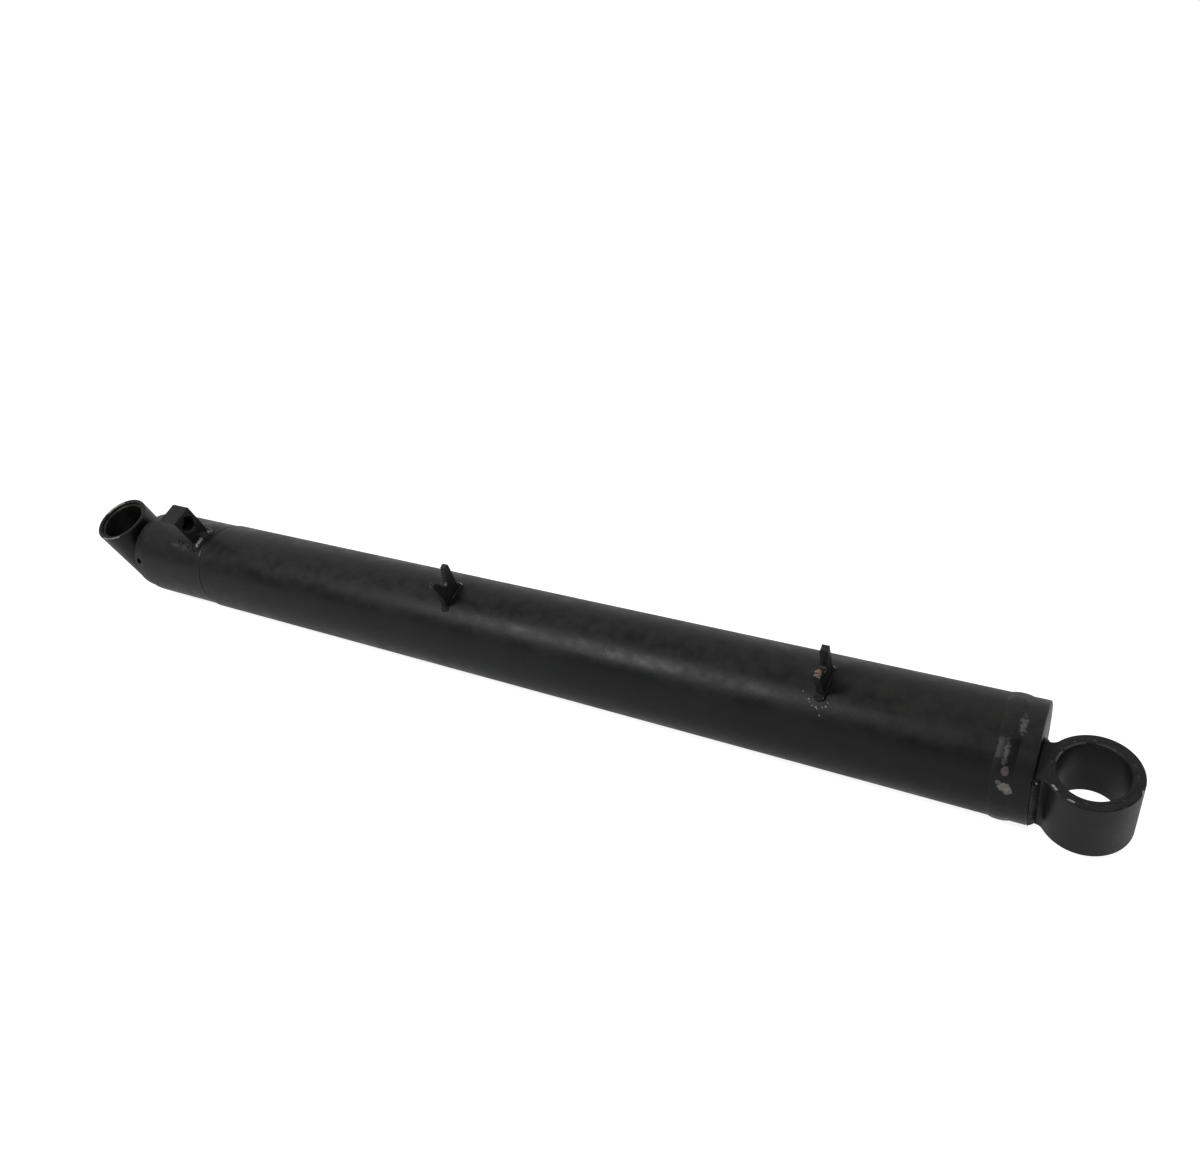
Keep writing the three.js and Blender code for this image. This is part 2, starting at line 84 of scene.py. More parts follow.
def station_of(node, end):
    """The station of a node's nearer (0) or farther (1) end, seen from the base cap."""
    return (CAP_FACE.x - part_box(node)[1 - end].x) / MM


TUBE_R = extent("barrel_tube", 2) / 2
TUBE_END = station_of("barrel_tube", 1)
BORE_R = 31.75
COLLAR_R = extent("head_collar", 2) / 2
COLLAR_START = station_of("head_collar", 0)
COLLAR_END = station_of("head_collar", 1)
GLAND_END = station_of("head_gland", 1)

CAP = {"edge": 0.8, "root": 15.1, "root_gap": 1.8, "root_r": 32.6, "spigot_end": 28, "chamfer": 2}
CAP_WELD = {"from": 10.2, "to": 22.6, "lap": 1.2, "crown": 0.85, "groove": 4.6, "wander": 0.7}
SEAM = {"lip": 0.4, "overlap": 0.1, "sink": 0.35, "depth": 4, "dip": 0.3, "sag": 0.22}
COLLAR = {"thread_r": 33.5, "thread_from": 752, "relief": 2, "edge": 0.8}
GLAND = {"flange_r": 36.4, "face_r": 35.6, "thread_r": 33.1, "shoulder_gap": 0.15}
GLAND_NOSE = {"from": 700, "to": 741, "r": 27.5, "edge": 1}
GLAND_FACE = {"recess_r": 27.5, "floor_r": 24.6, "recess": 4.8, "edge": 1}
# Each groove's ends along the bore and its floor's radius.
ROD_GROOVES = [(712, 734, 21.6), (759, 765, 24.2), (771, 779, 24.6)]
STATIC_GROOVE = (743.5, 749.5, 28.3)
WIPER_FROM = 784.1
SPANNER = {"hole_r": 3, "depth": 6, "inset": 7.1, "count": 2}
LUG = {"ring_r": 26.35, "reach": 29.1, "offset": -14.3, "half": 22.85, "edge": 0.9}
LUG_BORE = {"gap": 0.02, "mouth": 0.12}
NECK = {"half": 14, "fillet": 6, "bead": 4.2, "bead_margin": 1.2}
PIN = {"bore_r": 19.2, "bush_r": 22.05, "edge": 1, "lip": 0.15}
ROD = {"r": 19.05, "step_r": 12.7, "edge": 1.5, "end": 31.6, "shoulder": 90.7}
EYE = {"r": 24.9, "half": 34.85, "middle": 5.65, "edge": 0.7, "mouth": 1, "station": GLAND_END + 28}
EYE_BUSH = {"r": 21.3, "recess": 2.2}
EYE_WELD_LEG = 3.6
PORT = {"half": 10, "top": 69.5, "hole_r": 6.6, "mouth": 1.3, "axis": 58, "depth": 14.5, "edge": 0.7}
PORT_STATION = {"rod": 720.5, "base": 41}
PORT_WELD = {"legs": (5.3, 3.9), "height": 6.0}
BRACKET = {"thickness": 4.8, "foot": 10.6, "waist": 9.6, "waist_rise": 9, "edge": 0.45}
ARMS = {"half": 11.5, "top": 64.6, "tip": 4.6, "shoulder": 1.5, "corner": 1.2, "slope": 1}
NOTCH = {"r": 3.2, "height": 56}
BRACKET_STATION = {"front": 425, "rear": 128}
BRACKET_WELD = {"legs": (0.9, 3.4), "height": 3.8}
# How far edges are rounded, and what all fillet welds share.
EASE = {"tube": 0.35, "turned": 0.4, "cap": 0.5, "wiper": 0.3, "port": 0.8, "bracket": 0.7}
WELD = {"pitch": 2.3, "ripple": 0.28, "root": 0.3, "tuck": 0.12, "steps": 12}


def placed(tilt=0.0, station=0.0):
    """Local millimetres to the row frame: X along the bore, Z out at the tilt."""
    turn = Matrix.Rotation(math.radians(tilt), 4, "X")
    return Matrix.Translation(CAP_FACE - Vector((station * MM, 0, 0))) @ turn @ Matrix.Scale(MM, 4)


def on_tube(station, tilt, radius=TUBE_R):
    return placed(tilt, station) @ Vector((0, 0, radius))


# ---- shader building -----------------------------------
class Look:
    """A node-based material. Sizes of its patterns are given in millimetres."""

    def __init__(self, name):
        self.material = bpy.data.materials.new(name)
        self.material.use_nodes = True
        self.tree = self.material.node_tree
        self.shader = self.tree.nodes["Principled BSDF"]
        self.place = self.tree.nodes.new("ShaderNodeTexCoord").outputs["Object"]

    def node(self, kind, inputs=None, **settings):
        made = self.tree.nodes.new("ShaderNode" + kind)
        for key, value in settings.items():
            setattr(made, key, value)
        for key, value in (inputs or {}).items():
            self.feed(made.inputs[key], value)
        return made

    def feed(self, socket, value):
        if isinstance(value, bpy.types.NodeSocket):
            self.tree.links.new(value, socket)
        else:
            socket.default_value = value

    def math(self, operation, a, b=0.0):
        return self.node("Math", {0: a, 1: b}, operation=operation).outputs[0]

    def vector(self, operation, *values):
        """The outputs of a vector operation."""
        return self.node("VectorMath", dict(enumerate(values)), operation=operation).outputs

    def noise(self, size, detail=3.0, roughness=0.5, at=None):
        inputs = {
            "Vector": at or self.place, "Scale": 1 / (size * MM), "Detail": detail, "Roughness": roughness,
        }
        return self.node("TexNoise", inputs).outputs[0]

    def stretched(self, along, around, across=None):
        """The object's coordinates, drawn out so that a pattern is longer one way."""
        scale = (1 / along, 1 / around, 1 / (across or around))
        return self.vector("MULTIPLY", self.place, scale)[0]

    def ramp(self, value, low, high, to_low=0.0, to_high=1.0):
        inputs = {"Value": value, "From Min": low, "From Max": high, "To Min": to_low, "To Max": to_high}
        return self.node("MapRange", inputs, interpolation_type="SMOOTHSTEP").outputs[0]

    def mix(self, share, a, b):
        """A colour between a and b."""
        return self.node("Mix", {0: share, 6: a, 7: b}, data_type="RGBA").outputs[2]

    def blend(self, share, a, b):
        """A value between a and b."""
        return self.node("Mix", {0: share, 2: a, 3: b}, data_type="FLOAT").outputs[0]

    def bump(self, height, depth, strength=1.0, under=None):
        inputs = {"Height": height, "Distance": depth * MM, "Strength": strength}
        if under:
            inputs["Normal"] = under
        return self.node("Bump", inputs).outputs[0]

    def edges(self, width):
        """1 on sharp edges within the width, from how much a rounded normal leaves the true one."""
        soft = self.node("Bevel", {"Radius": width * MM}, samples=4).outputs[0]
        true = self.node("NewGeometry").outputs["True Normal"]
        return self.ramp(self.vector("DOT_PRODUCT", soft, true)["Value"], 0.995, 0.86)

    def up(self):
        """How far the surface faces upwards, from -1 to 1."""
        normal = self.node("TexCoord").outputs["Normal"]
        return self.node("SeparateXYZ", {0: normal}).outputs["Z"]

    def spot(self, centre, size, ragged, fade):
        """1 inside a patch round a point, for a chip, a smear, a painted highlight or painted light. Sizes
        are half widths along X, Y, Z.
        """
        grain = 2.0
        away = self.vector("SUBTRACT", self.place, tuple(centre))[0]
        away = self.vector("MULTIPLY", away, tuple(1 / (s * MM) for s in size))[0]
        length = self.vector("LENGTH", away)["Value"]
        rough = self.ramp(self.noise(grain, 4), 0.3, 0.7, -ragged, ragged)
        return self.ramp(self.math("ADD", length, rough), 1.05, 1.05 - fade)

    def done(self, **inputs):
        for key, value in inputs.items():
            self.feed(self.shader.inputs[key.replace("_", " ")], value)
        return self.material


def grey(value, warm=0.0):
    return (value * (1 + warm), value, value * (1 - warm), 1)


def dimmed(tone, share):
    return tuple(c * share for c in tone[:3]) + (1,)


# ---- materials -----------------------------------------
INK = (0.0052, 0.0056, 0.0058, 1)
INK_LIGHT = (0.0090, 0.0096, 0.0098, 1)
DUST = (0.050, 0.050, 0.046, 1)
BARE = (0.30, 0.27, 0.25, 1)
PAINT_SPECULAR = 0.25


def enamel(name, gloss, peel, marks=(), wear=0.6, lumps=0.0):
    """Satin black enamel: blotches of gloss, orange peel, dust on top, fine scratches, chips, and painted
    highlights and painted light.

    marks are patches where the paint is chipped, rubbed or smeared, and also painted highlights and painted
    light
    laid into the colour: (point, half sizes, colour, share, raggedness of the rim, how slowly it fades
    out).
    """
    look = Look(name)
    blotch = look.noise(42, 4, 0.6)
    cloud = look.noise(9, 3, 0.55)
    colour = look.mix(look.ramp(blotch, 0.35, 0.7), INK, INK_LIGHT)

    facing = look.ramp(look.up(), 0.15, 1.0)
    settled = look.math("MULTIPLY", facing, look.ramp(cloud, 0.3, 0.75, 0.12, 0.42))
    colour = look.mix(settled, colour, DUST)

    speck = look.ramp(look.noise(1.1, 2, 0.7), 0.715, 0.76)
    speck = look.math("MULTIPLY", speck, look.ramp(blotch, 0.45, 0.6))
    colour = look.mix(look.math("MULTIPLY", speck, 0.55), colour, DUST)

    drawn = look.noise(1.0, 2, 0.5, at=look.stretched(60, 0.8))
    crossed = look.noise(1.0, 2, 0.5, at=look.stretched(0.9, 34, 26))
    scratch = look.math("MAXIMUM", look.ramp(drawn, 0.73, 0.77), look.ramp(crossed, 0.76, 0.80))
    scratch = look.math("MULTIPLY", scratch, look.ramp(cloud, 0.42, 0.62, 0.0, 0.5))
    colour = look.mix(scratch, colour, grey(0.055))

    edges = look.edges(0.9)
    worn = look.ramp(look.noise(3.2, 4, 0.6), 0.52, 0.66, 0.0, wear)
    rubbed = look.math("MULTIPLY", edges, worn)
    colour = look.mix(rubbed, colour, BARE)

    bare_and_highlit = rubbed
    # Chips, rubs and smears, and the painted highlights and painted light among the marks, go into the base
    # colour here.
    for point, half_sizes, tone, share, ragged, fade in marks:
        patch = look.math("MULTIPLY", look.spot(point, half_sizes, ragged, fade), share)
        mottled = look.mix(look.ramp(look.noise(1.4, 4, 0.7), 0.35, 0.65), tone, INK_LIGHT)
        colour = look.mix(patch, colour, look.mix(0.35, tone, mottled))
        bare_and_highlit = look.math("MAXIMUM", bare_and_highlit, patch)

    uneven = look.math("ADD", blotch, look.math("MULTIPLY", cloud, 0.5))
    roughness = look.ramp(uneven, 0.45, 0.95, gloss - 0.05, gloss + 0.09)
    roughness = look.blend(settled, roughness, 0.75)
    roughness = look.blend(bare_and_highlit, roughness, 0.42)

    fine = look.bump(look.noise(1.9, 3, 0.55), 0.05 * peel)
    wide = look.bump(look.noise(16, 2, 0.5), 0.16 * peel, under=fine)
    normal = look.bump(scratch, -0.012, under=wide)
    normal = look.bump(bare_and_highlit, -0.05, under=normal)
    if lumps:
        normal = look.bump(look.noise(2.6, 3, 0.6), lumps, under=normal)
    look.shader.inputs["Specular IOR Level"].default_value = PAINT_SPECULAR
    return look.done(Base_Color=colour, Roughness=roughness, Normal=normal)


def machined(name, tone, roughness, oil, turns_along, metallic=1.0):
    """Turned or bored steel: fine tool marks across the turning axis, oil film and darker blotches."""
    look = Look(name)
    film = look.ramp(look.noise(13, 4, 0.6), 0.35, 0.7)
    marks = look.noise(1.0, 2, 0.6, at=look.stretched(*turns_along))
    colour = look.mix(film, tone, dimmed(tone, oil))
    colour = look.mix(look.ramp(marks, 0.55, 0.8, 0.0, 0.35), colour, dimmed(tone, 0.6))
    rough = look.blend(film, roughness, roughness + 0.14)
    normal = look.bump(marks, 0.02, 0.6)
    look.shader.inputs["Metallic"].default_value = metallic
    return look.done(Base_Color=colour, Roughness=rough, Normal=normal)


def chrome(name):
    """Ground hard chrome: near-mirror with faint circumferential grinding lines and an oil haze."""
    look = Look(name)
    haze = look.ramp(look.noise(22, 3, 0.6), 0.4, 0.75)
    lines = look.noise(1.0, 3, 0.6, at=look.stretched(0.35, 60))
    colour = look.mix(haze, (0.66, 0.67, 0.69, 1), (0.56, 0.565, 0.57, 1))
    rough = look.blend(haze, 0.07, 0.17)
    look.shader.inputs["Metallic"].default_value = 1.0
    return look.done(Base_Color=colour, Roughness=rough, Normal=look.bump(lines, 0.004, 0.5))


def moulded(name, tone, roughness, mottle, grain_size):
    """Rubber, urethane or filled resin: a mottled, slightly grained moulded surface."""
    look = Look(name)
    cloud = look.noise(grain_size * 6, 4, 0.6)
    colour = look.mix(look.ramp(cloud, 0.35, 0.7), tone, dimmed(tone, mottle))
    rough = look.blend(look.ramp(cloud, 0.3, 0.7), roughness, min(1.0, roughness + 0.12))
    return look.done(Base_Color=colour, Roughness=rough, Normal=look.bump(look.noise(grain_size, 3), 0.03))


# ---- chips, rubs, painted highlights and painted light ---
# How ragged the rim of each kind of mark is, and how slowly it fades out. The kinds serve chips and rubs
# and also painted highlights and painted light.
RAGGED_RIM = (0.22, 0.2)
WORN = (0.14, 0.2)
SMOOTH = (0.07, 0.2)
SOFT_RIM = (0.30, 0.9)
CREAM = (0.225, 0.215, 0.200, 1)
# GLINT is the colour of painted highlights on edges.
GLINT = grey(0.50, 0.02)
MARK_DEPTH = 3


def mark(station, tilt, along, around, colour, share, kind=RAGGED_RIM, radius=TUBE_R):
    """A patch on the barrel's surface. Its half sizes run along the bore and round it."""
    cosine, sine = abs(math.cos(math.radians(tilt))), abs(math.sin(math.radians(tilt)))
    size = (along, max(cosine * around, sine * MARK_DEPTH), max(sine * around, cosine * MARK_DEPTH))
    return (on_tube(station, tilt, radius), size, colour, share, *kind)


GIRTH_CHIPS_AND_HIGHLIGHTS = [
    # The first two are painted highlights on the weld's crown and beside it; the rest are chips.
    mark(10.7, 32, 2.8, 12, grey(0.16), 0.9, SOFT_RIM),
    mark(16.4, 61, 1.9, 13, grey(0.13), 0.9, SOFT_RIM),
    mark(15.2, 76, 2.4, 3.4, (0.120, 0.100, 0.106, 1), 0.9, SMOOTH),
    mark(14.4, 90.5, 3.9, 2.9, CREAM, 0.85, WORN),
    mark(12.2, 94, 3.0, 2.4, CREAM, 0.8, WORN),
    mark(17.4, 87.5, 1.8, 1.6, (0.130, 0.125, 0.120, 1), 0.8),
]
SPATTER_MARKS = [
    (on_tube(station, tilt), (size, size, size), grey(0.30), 0.8, *SMOOTH)
    for station, tilt, size in (
        (134.8, 55, 0.65), (133.9, 57.5, 0.45), (131.8, 60.5, 0.5), (129.2, 61, 0.7), (128.1, 62.5, 0.45),
        (125.2, 60, 0.5), (123.2, 58.5, 0.65), (122.4, 54.5, 0.45), (139.5, 49, 0.5), (126, 68, 0.55),
    )
]
# Two lighter smears, a bright painted highlight speck, a thin lighter streak, and a row of painted
# highlight specks along the port weld's foot.
COLLAR_SMEARS_AND_HIGHLIGHTS = [
    mark(737, 52.5, 9, 3.4, grey(0.070), 0.9, SOFT_RIM, COLLAR_R),
    mark(724, 54.5, 9, 3.8, grey(0.065), 0.9, SOFT_RIM, COLLAR_R),
    mark(713, 51, 1.1, 1.3, grey(0.75), 1.0, SMOOTH, COLLAR_R),
    mark(704, 57, 0.6, 4.5, grey(0.18), 0.8, RAGGED_RIM, COLLAR_R),
    *(mark(708 - 0.4 * k, tilt, 1.1, 1.0, grey(0.35), 0.9, RAGGED_RIM, COLLAR_R + 3)
      for k, tilt in enumerate((47.5, 43, 39, 24, 20))),
]


def bracket_mark(name, across, height, size, colour, share, along=2.4):
    point = placed(TILT["line"], BRACKET_STATION[name]) @ Vector((along, across, height))
    return (point, size, colour, share, *RAGGED_RIM)


# A chip on the rear bracket's arm tip, and a painted highlight on the front bracket's notch floor.
PLATE_CHIP_AND_HIGHLIGHT = [
    bracket_mark("rear", -9.0, 62.2, (4, 3.2, 3.2), (0.34, 0.24, 0.20, 1), 0.9),
    bracket_mark("front", 0, 53, (2, 1.2, 1.2), grey(0.22), 0.8),
]
# Painted highlights on the welds at the brackets' feet.
FOOT_HIGHLIGHTS = [
    bracket_mark("front", 12.6, 38.5, (2.2, 1.2, 1.2), grey(0.40), 0.9),
    bracket_mark("front", 13.4, 37, (0.9, 0.9, 0.9), grey(0.60), 1.0, 4),
    bracket_mark("rear", -12.5, 38.5, (1.3, 0.8, 0.8), grey(0.40), 0.9, 3.6),
    bracket_mark("rear", -13.2, 37.4, (0.9, 1.0, 1.0), grey(0.35), 0.9, -3.4),
    bracket_mark("rear", 12.4, 38.5, (1.2, 0.9, 0.9), grey(0.32), 0.9, 3),
]


def glint(at, turn, radius, height, size, share):
    """A painted highlight (glint) on a pin eye's upper face, at a turn in degrees about its pin."""
    angle = math.radians(turn)
    point = at @ Vector((radius * math.cos(angle), radius * math.sin(angle), height))
    return (point, size, GLINT, share, *SMOOTH)


EYE_AT = placed(TILT["rod_eye"], EYE["station"]) @ Matrix.Translation((0, 0, EYE["middle"]))
LUG_AT = placed(TILT["base_eye"]) @ Matrix.Translation((0, LUG["offset"], 0))
PIN_AT = LUG_AT @ Matrix.Translation((LUG["reach"], 0, 0))
# Painted highlights round the cross tube's mouth and on the lug's upper face.
EYE_GLINTS = [
    *(glint(EYE_AT, turn, 22.8, EYE["half"], (1.2, 1.0, 1.0), 0.6) for turn in range(128, 176, 4)),
    *(glint(EYE_AT, turn, 24.5, EYE["half"], (1.4, 0.7, 0.7), 0.6) for turn in range(-96, -48, 4)),
    *(glint(PIN_AT, turn, 24.6, LUG["half"], (0.9, 0.7, 0.7), 0.7) for turn in (-139, -137, -134, -132)),
    *(glint(PIN_AT, turn, 24.6, LUG["half"], (1.0, 0.6, 0.6), 0.7) for turn in (-112, -109, -106)),
    glint(PIN_AT, -13, 26.1, LUG["half"], (0.7, 1.6, 1.6), 0.8),
]
# Painted highlights along the edge of the lug bushing's bore.
MOUTH_GLINTS = [
    *(glint(PIN_AT, turn, 20.0, LUG["half"], (0.5, 0.8, 0.8), 0.22) for turn in range(154, 176, 3)),
    *(glint(PIN_AT, turn, 20.0, LUG["half"], (0.8, 0.6, 0.6), 0.14) for turn in range(112, 148, 3)),
    *(glint(PIN_AT, turn, 20.0, LUG["half"], (1.0, 0.4, 0.4), 0.12) for turn in range(66, 96, 3)),
]
# A painted highlight at the top of the lower lug bead, and a lighter patch over its middle that paints out
# the shade the bead sits in.
BEAD_TOP_GLINT = LUG_AT @ Vector((2.5, -NECK["half"] - 2.5, LUG["half"] - 1.6))
BEAD_MIDDLE_FILL_LIGHT = LUG_AT @ Vector((2, -NECK["half"] - 3, 0))
NECK_PAINTED_LIGHT = [
    (BEAD_TOP_GLINT, (1.1, 0.9, 0.9), grey(0.45), 0.9, *SMOOTH),
    (BEAD_MIDDLE_FILL_LIGHT, (6, 12, 26), grey(0.045), 0.7, *SOFT_RIM),
]
# The welds carry chips, smears, painted highlights and painted light from these lists.
WELD_MARKS_AND_PAINTED_LIGHT = GIRTH_CHIPS_AND_HIGHLIGHTS + COLLAR_SMEARS_AND_HIGHLIGHTS + FOOT_HIGHLIGHTS + NECK_PAINTED_LIGHT

# Every look by name.
MATERIALS = {
    "tube": enamel("tube_enamel", 0.36, 1.0, SPATTER_MARKS, wear=0.35),
    "cap": enamel("cap_enamel", 0.36, 1.0, GIRTH_CHIPS_AND_HIGHLIGHTS, wear=0.35),
    "collar": enamel("collar_enamel", 0.36, 1.0, COLLAR_SMEARS_AND_HIGHLIGHTS, wear=0.35),
    "fitting": enamel("fitting_enamel", 0.38, 1.3, PLATE_CHIP_AND_HIGHLIGHT, wear=0.7),
    "eye": enamel("eye_enamel", 0.34, 0.9, EYE_GLINTS, wear=0.6),
    "weld": enamel("weld_enamel", 0.32, 1.3, WELD_MARKS_AND_PAINTED_LIGHT, wear=0.25, lumps=0.10),
    "chrome": chrome("hard_chrome"),
    "painted_bushing": enamel("bushing_enamel", 0.40, 1.0, MOUTH_GLINTS, wear=0.5),
    "bushing": machined("oiled_bushing", (0.085, 0.082, 0.078, 1), 0.46, 0.30, (0.5, 30)),
    "zinc": machined("zinc_steel", (0.50, 0.50, 0.48, 1), 0.30, 0.8, (0.4, 30)),
    "iron": machined("turned_iron", (0.20, 0.205, 0.21, 1), 0.42, 0.75, (0.4, 30), 0.9),
    "urethane": moulded("blue_urethane", (0.06, 0.16, 0.36, 1), 0.34, 0.8, 0.8),
    "ptfe": moulded("filled_ptfe", (0.35, 0.45, 0.52, 1), 0.46, 0.85, 0.6),
    "resin": moulded("bronze_filled_resin", (0.20, 0.11, 0.045, 1), 0.5, 0.7, 0.5),
    "rubber": moulded("nitrile_rubber", (0.012, 0.012, 0.012, 1), 0.62, 0.7, 0.6),
}

# ---- mesh building -------------------------------------
SHARP = math.radians(32)


def soften(made):
    """Shades a mesh smooth, but for its sharp edges."""
    for face in made.faces:
        face.smooth = True
    for edge in made.edges:
        edge.smooth = len(edge.link_faces) == 2 and edge.calc_face_angle(0) < SHARP


def add_object(name, data):
    made = bpy.data.objects.new(name, data)
    bpy.context.scene.collection.objects.link(made)
    return made


def add_mesh(name, points, faces, matrix):
    """A mesh object with doubled points merged and its faces turned outwards."""
    mesh = bpy.data.meshes.new(name)
    mesh.from_pydata([matrix @ Vector(p) for p in points], [], faces)
    made = bmesh.new()
    made.from_mesh(mesh)
    bmesh.ops.remove_doubles(made, verts=made.verts, dist=0.002 * MM)
    bmesh.ops.recalc_face_normals(made, faces=made.faces)
    soften(made)
    made.to_mesh(mesh)
    made.free()
    return add_object(name, mesh)


def piece(name, points, faces, matrix, look, node):
    """Makes a mesh that stands for a CAD node, if one is named, and rides on that node's body."""
    shown = add_mesh(name, points, faces, matrix)
    shown.data.materials.append(MATERIALS[look])
    shown.modifiers.new("weighted", "WEIGHTED_NORMAL").keep_sharp = True
    if node:
        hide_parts(node)
        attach(shown, frame["nodes"][node]["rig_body"])
    return shown


def rounded(points, radius, steps=4, loop=True):
    """A 2-D outline with its corners turned into arcs of about the radius, or less on short sides."""
    count = len(points)
    made = []
    for i, here in enumerate(points):
        if not loop and i in (0, count - 1):
            made.append(tuple(here))
            continue
        here = Vector(here)
        before, after = Vector(points[i - 1]) - here, Vector(points[(i + 1) % count]) - here
        turn = math.pi - before.angle(after, math.pi)
        if turn < SHARP / 2:
            made.append(tuple(here))
            continue
        reach = min(radius * math.tan(turn / 2), 0.45 * before.length, 0.45 * after.length)
        start, end = here + before.normalized() * reach, here + after.normalized() * reach
        for k in range(steps + 1):
            t = k / steps
            made.append(tuple(start.lerp(here, t).lerp(here.lerp(end, t), t)))
    return made


def lathe(profile, segments=SEGMENTS, loop=True, shape=None):
    """Points and faces of a body turned about the bore axis, from (station, radius) points.

    loop closes a ring's profile; otherwise the profile starts and ends on the axis. shape moves a point,
    given its station, radius and turn, to another station and radius.
    """
    points, rings, faces = [], [], []
    for station, radius in profile:
        if radius == 0:
            rings.append([len(points)] * segments)
            points.append((-station, 0, 0))
            continue
        rings.append(list(range(len(points), len(points) + segments)))
        for i in range(segments):
            turn = 2 * math.pi * i / segments
            at, r = shape(station, radius, turn) if shape else (station, radius)
            points.append((-at, -r * math.sin(turn), r * math.cos(turn)))
    pairs = list(zip(rings, rings[1:])) + ([(rings[-1], rings[0])] if loop else [])
    for near, far in pairs:
        for i in range(segments):
            j = (i + 1) % segments
            corners = [near[i], near[j], far[j], far[i]]
            faces.append(tuple(dict.fromkeys(corners)))
    return points, faces


def upright(points):
    """A lathed body's points, turned so that its axis stands along local Z."""
    return [(y, z, -x) for x, y, z in points]


def on_edge(points):
    """A slab's points, turned so that its faces look along the bore."""
    return [(z, x, y) for x, y, z in points]


def arc(x, y, radius, start, end, steps):
    turns = [start + (end - start) * i / steps for i in range(steps + 1)]
    return [(x + radius * math.cos(t), y + radius * math.sin(t)) for t in turns]


def circle(x, y, radius, count):
    return arc(x, y, radius, 0, 2 * math.pi, count)[:-1]


def inset(outline, depth):
    """The outline, which runs anticlockwise, moved inwards by the depth."""
    made = []
    corners = [Vector(p) for p in outline]
    for i, here in enumerate(corners):
        before, after = here - corners[i - 1], corners[(i + 1) % len(corners)] - here
        normal = Vector((-before.y, before.x)).normalized() + Vector((-after.y, after.x)).normalized()
        scale = depth / max(0.3, normal.length / 2)
        made.append(tuple(here + normal.normalized() * scale))
    return made


def slab(outline, half, edge, holes=(), rim_steps=4):
    """Points and faces of a plate from -half to half in Z with rounded rims.

    holes are (x, y, radius, mouth, depth), drilled from the top, or right through where depth is None.
    """
    points, faces = [], []

    def ring(loop, z):
        start = len(points)
        points.extend((x, y, z) for x, y in loop)
        return list(range(start, len(points)))

    def skin(rings):
        for near, far in zip(rings, rings[1:]):
            for i in range(len(near)):
                j = (i + 1) % len(near)
                faces.append((near[i], near[j], far[j], far[i]))

    def cover(loops, rings, upwards):
        flat = [[Vector((x, y, 0)) for x, y in loop] for loop in loops]
        index = [i for one in rings for i in one]
        for a, b, c in tessellate_polygon(flat):
            faces.append((index[a], index[b], index[c]) if upwards else (index[c], index[b], index[a]))

    levels = [math.pi / 2 * k / rim_steps for k in range(rim_steps + 1)]
    offsets = [(edge * (1 - math.cos(t)), half - edge + edge * math.sin(t)) for t in levels]
    rims = [(depth, -z) for depth, z in reversed(offsets)] + offsets
    outer = [ring(inset(outline, depth), z) for depth, z in rims]
    skin(outer)
    top_loops, top_rings = [inset(outline, edge)], [outer[-1]]
    low_loops, low_rings = [inset(outline, edge)], [outer[0]]
    for x, y, radius, mouth, depth in holes:
        throat, fall = radius + 0.15 * mouth, 0.85 * mouth
        bottom = half - depth if depth else mouth - half
        wall = [(radius + mouth, half), (throat, half - fall), (radius, half - mouth), (radius, bottom)]
        if depth is None:
            wall += [(throat, fall - half), (radius + mouth, -half)]
        loops = [circle(x, y, r, FINE_SEGMENTS) for r, _ in wall]
        rings = [ring(loop, z) for loop, (_, z) in zip(loops, wall)]
        skin(rings)
        top_loops.append(loops[0])
        top_rings.append(rings[0])
        if depth is None:
            low_loops.append(loops[-1])
            low_rings.append(rings[-1])
        else:
            tip = len(points)
            points.append((x, y, bottom - radius * 0.5))
            faces.extend((rings[-1][i - 1], rings[-1][i], tip) for i in range(FINE_SEGMENTS))
    cover(top_loops, top_rings, True)
    cover(low_loops, low_rings, False)
    return points, faces


def sweep(rows, closed):
    """Points and faces of a bead from its cross-sections, one after another along its path."""
    size = len(rows[0])
    points = [tuple(p) for row in rows for p in row]
    count = len(rows)
    faces = []
    for i in range(count if closed else count - 1):
        for k in range(size):
            a, b = i * size + k, i * size + (k + 1) % size
            c, d = ((i + 1) % count) * size + (k + 1) % size, ((i + 1) % count) * size + k
            faces.append((a, b, c, d))
    if not closed:
        faces.append(tuple(range(size)))
        faces.append(tuple(reversed(range((count - 1) * size, count * size))))
    return points, faces


def ripple(along, across, pitch, seed):
    """The height, 0 to 1, of a weld's overlapping crescents. across runs from -1 to 1 over the bead."""
    drift = 0.5 * noise.noise(Vector((along / pitch * 0.6, seed, 0)))
    phase = (along / pitch + 0.8 * across * across + drift) % 1
    return 1 - phase * phase


def waver(along, size, seed):
    """A slow random change along a path, -1 to 1."""
    return 1.6 * noise.noise(Vector((along / size, 7.3 * seed, 1.7)))


def bead_section(wall, corner, floor, swell, along, seed):
    """The closed section of a fillet weld: the corner that it fills, then its face from floor to wall."""
    outwards = ((wall + floor) / 2 - corner).normalized()
    section = [corner - outwards * WELD["root"]]
    for i in range(WELD["steps"] + 1):
        v = i / WELD["steps"]
        rise = math.sin(math.pi * v) ** 0.7
        height = swell + WELD["ripple"] * ripple(along, 2 * v - 1, WELD["pitch"], seed)
        lift = rise * height - WELD["tuck"] * (1 - rise)
        section.append(floor.lerp(wall, v) + outwards * lift)
    return section


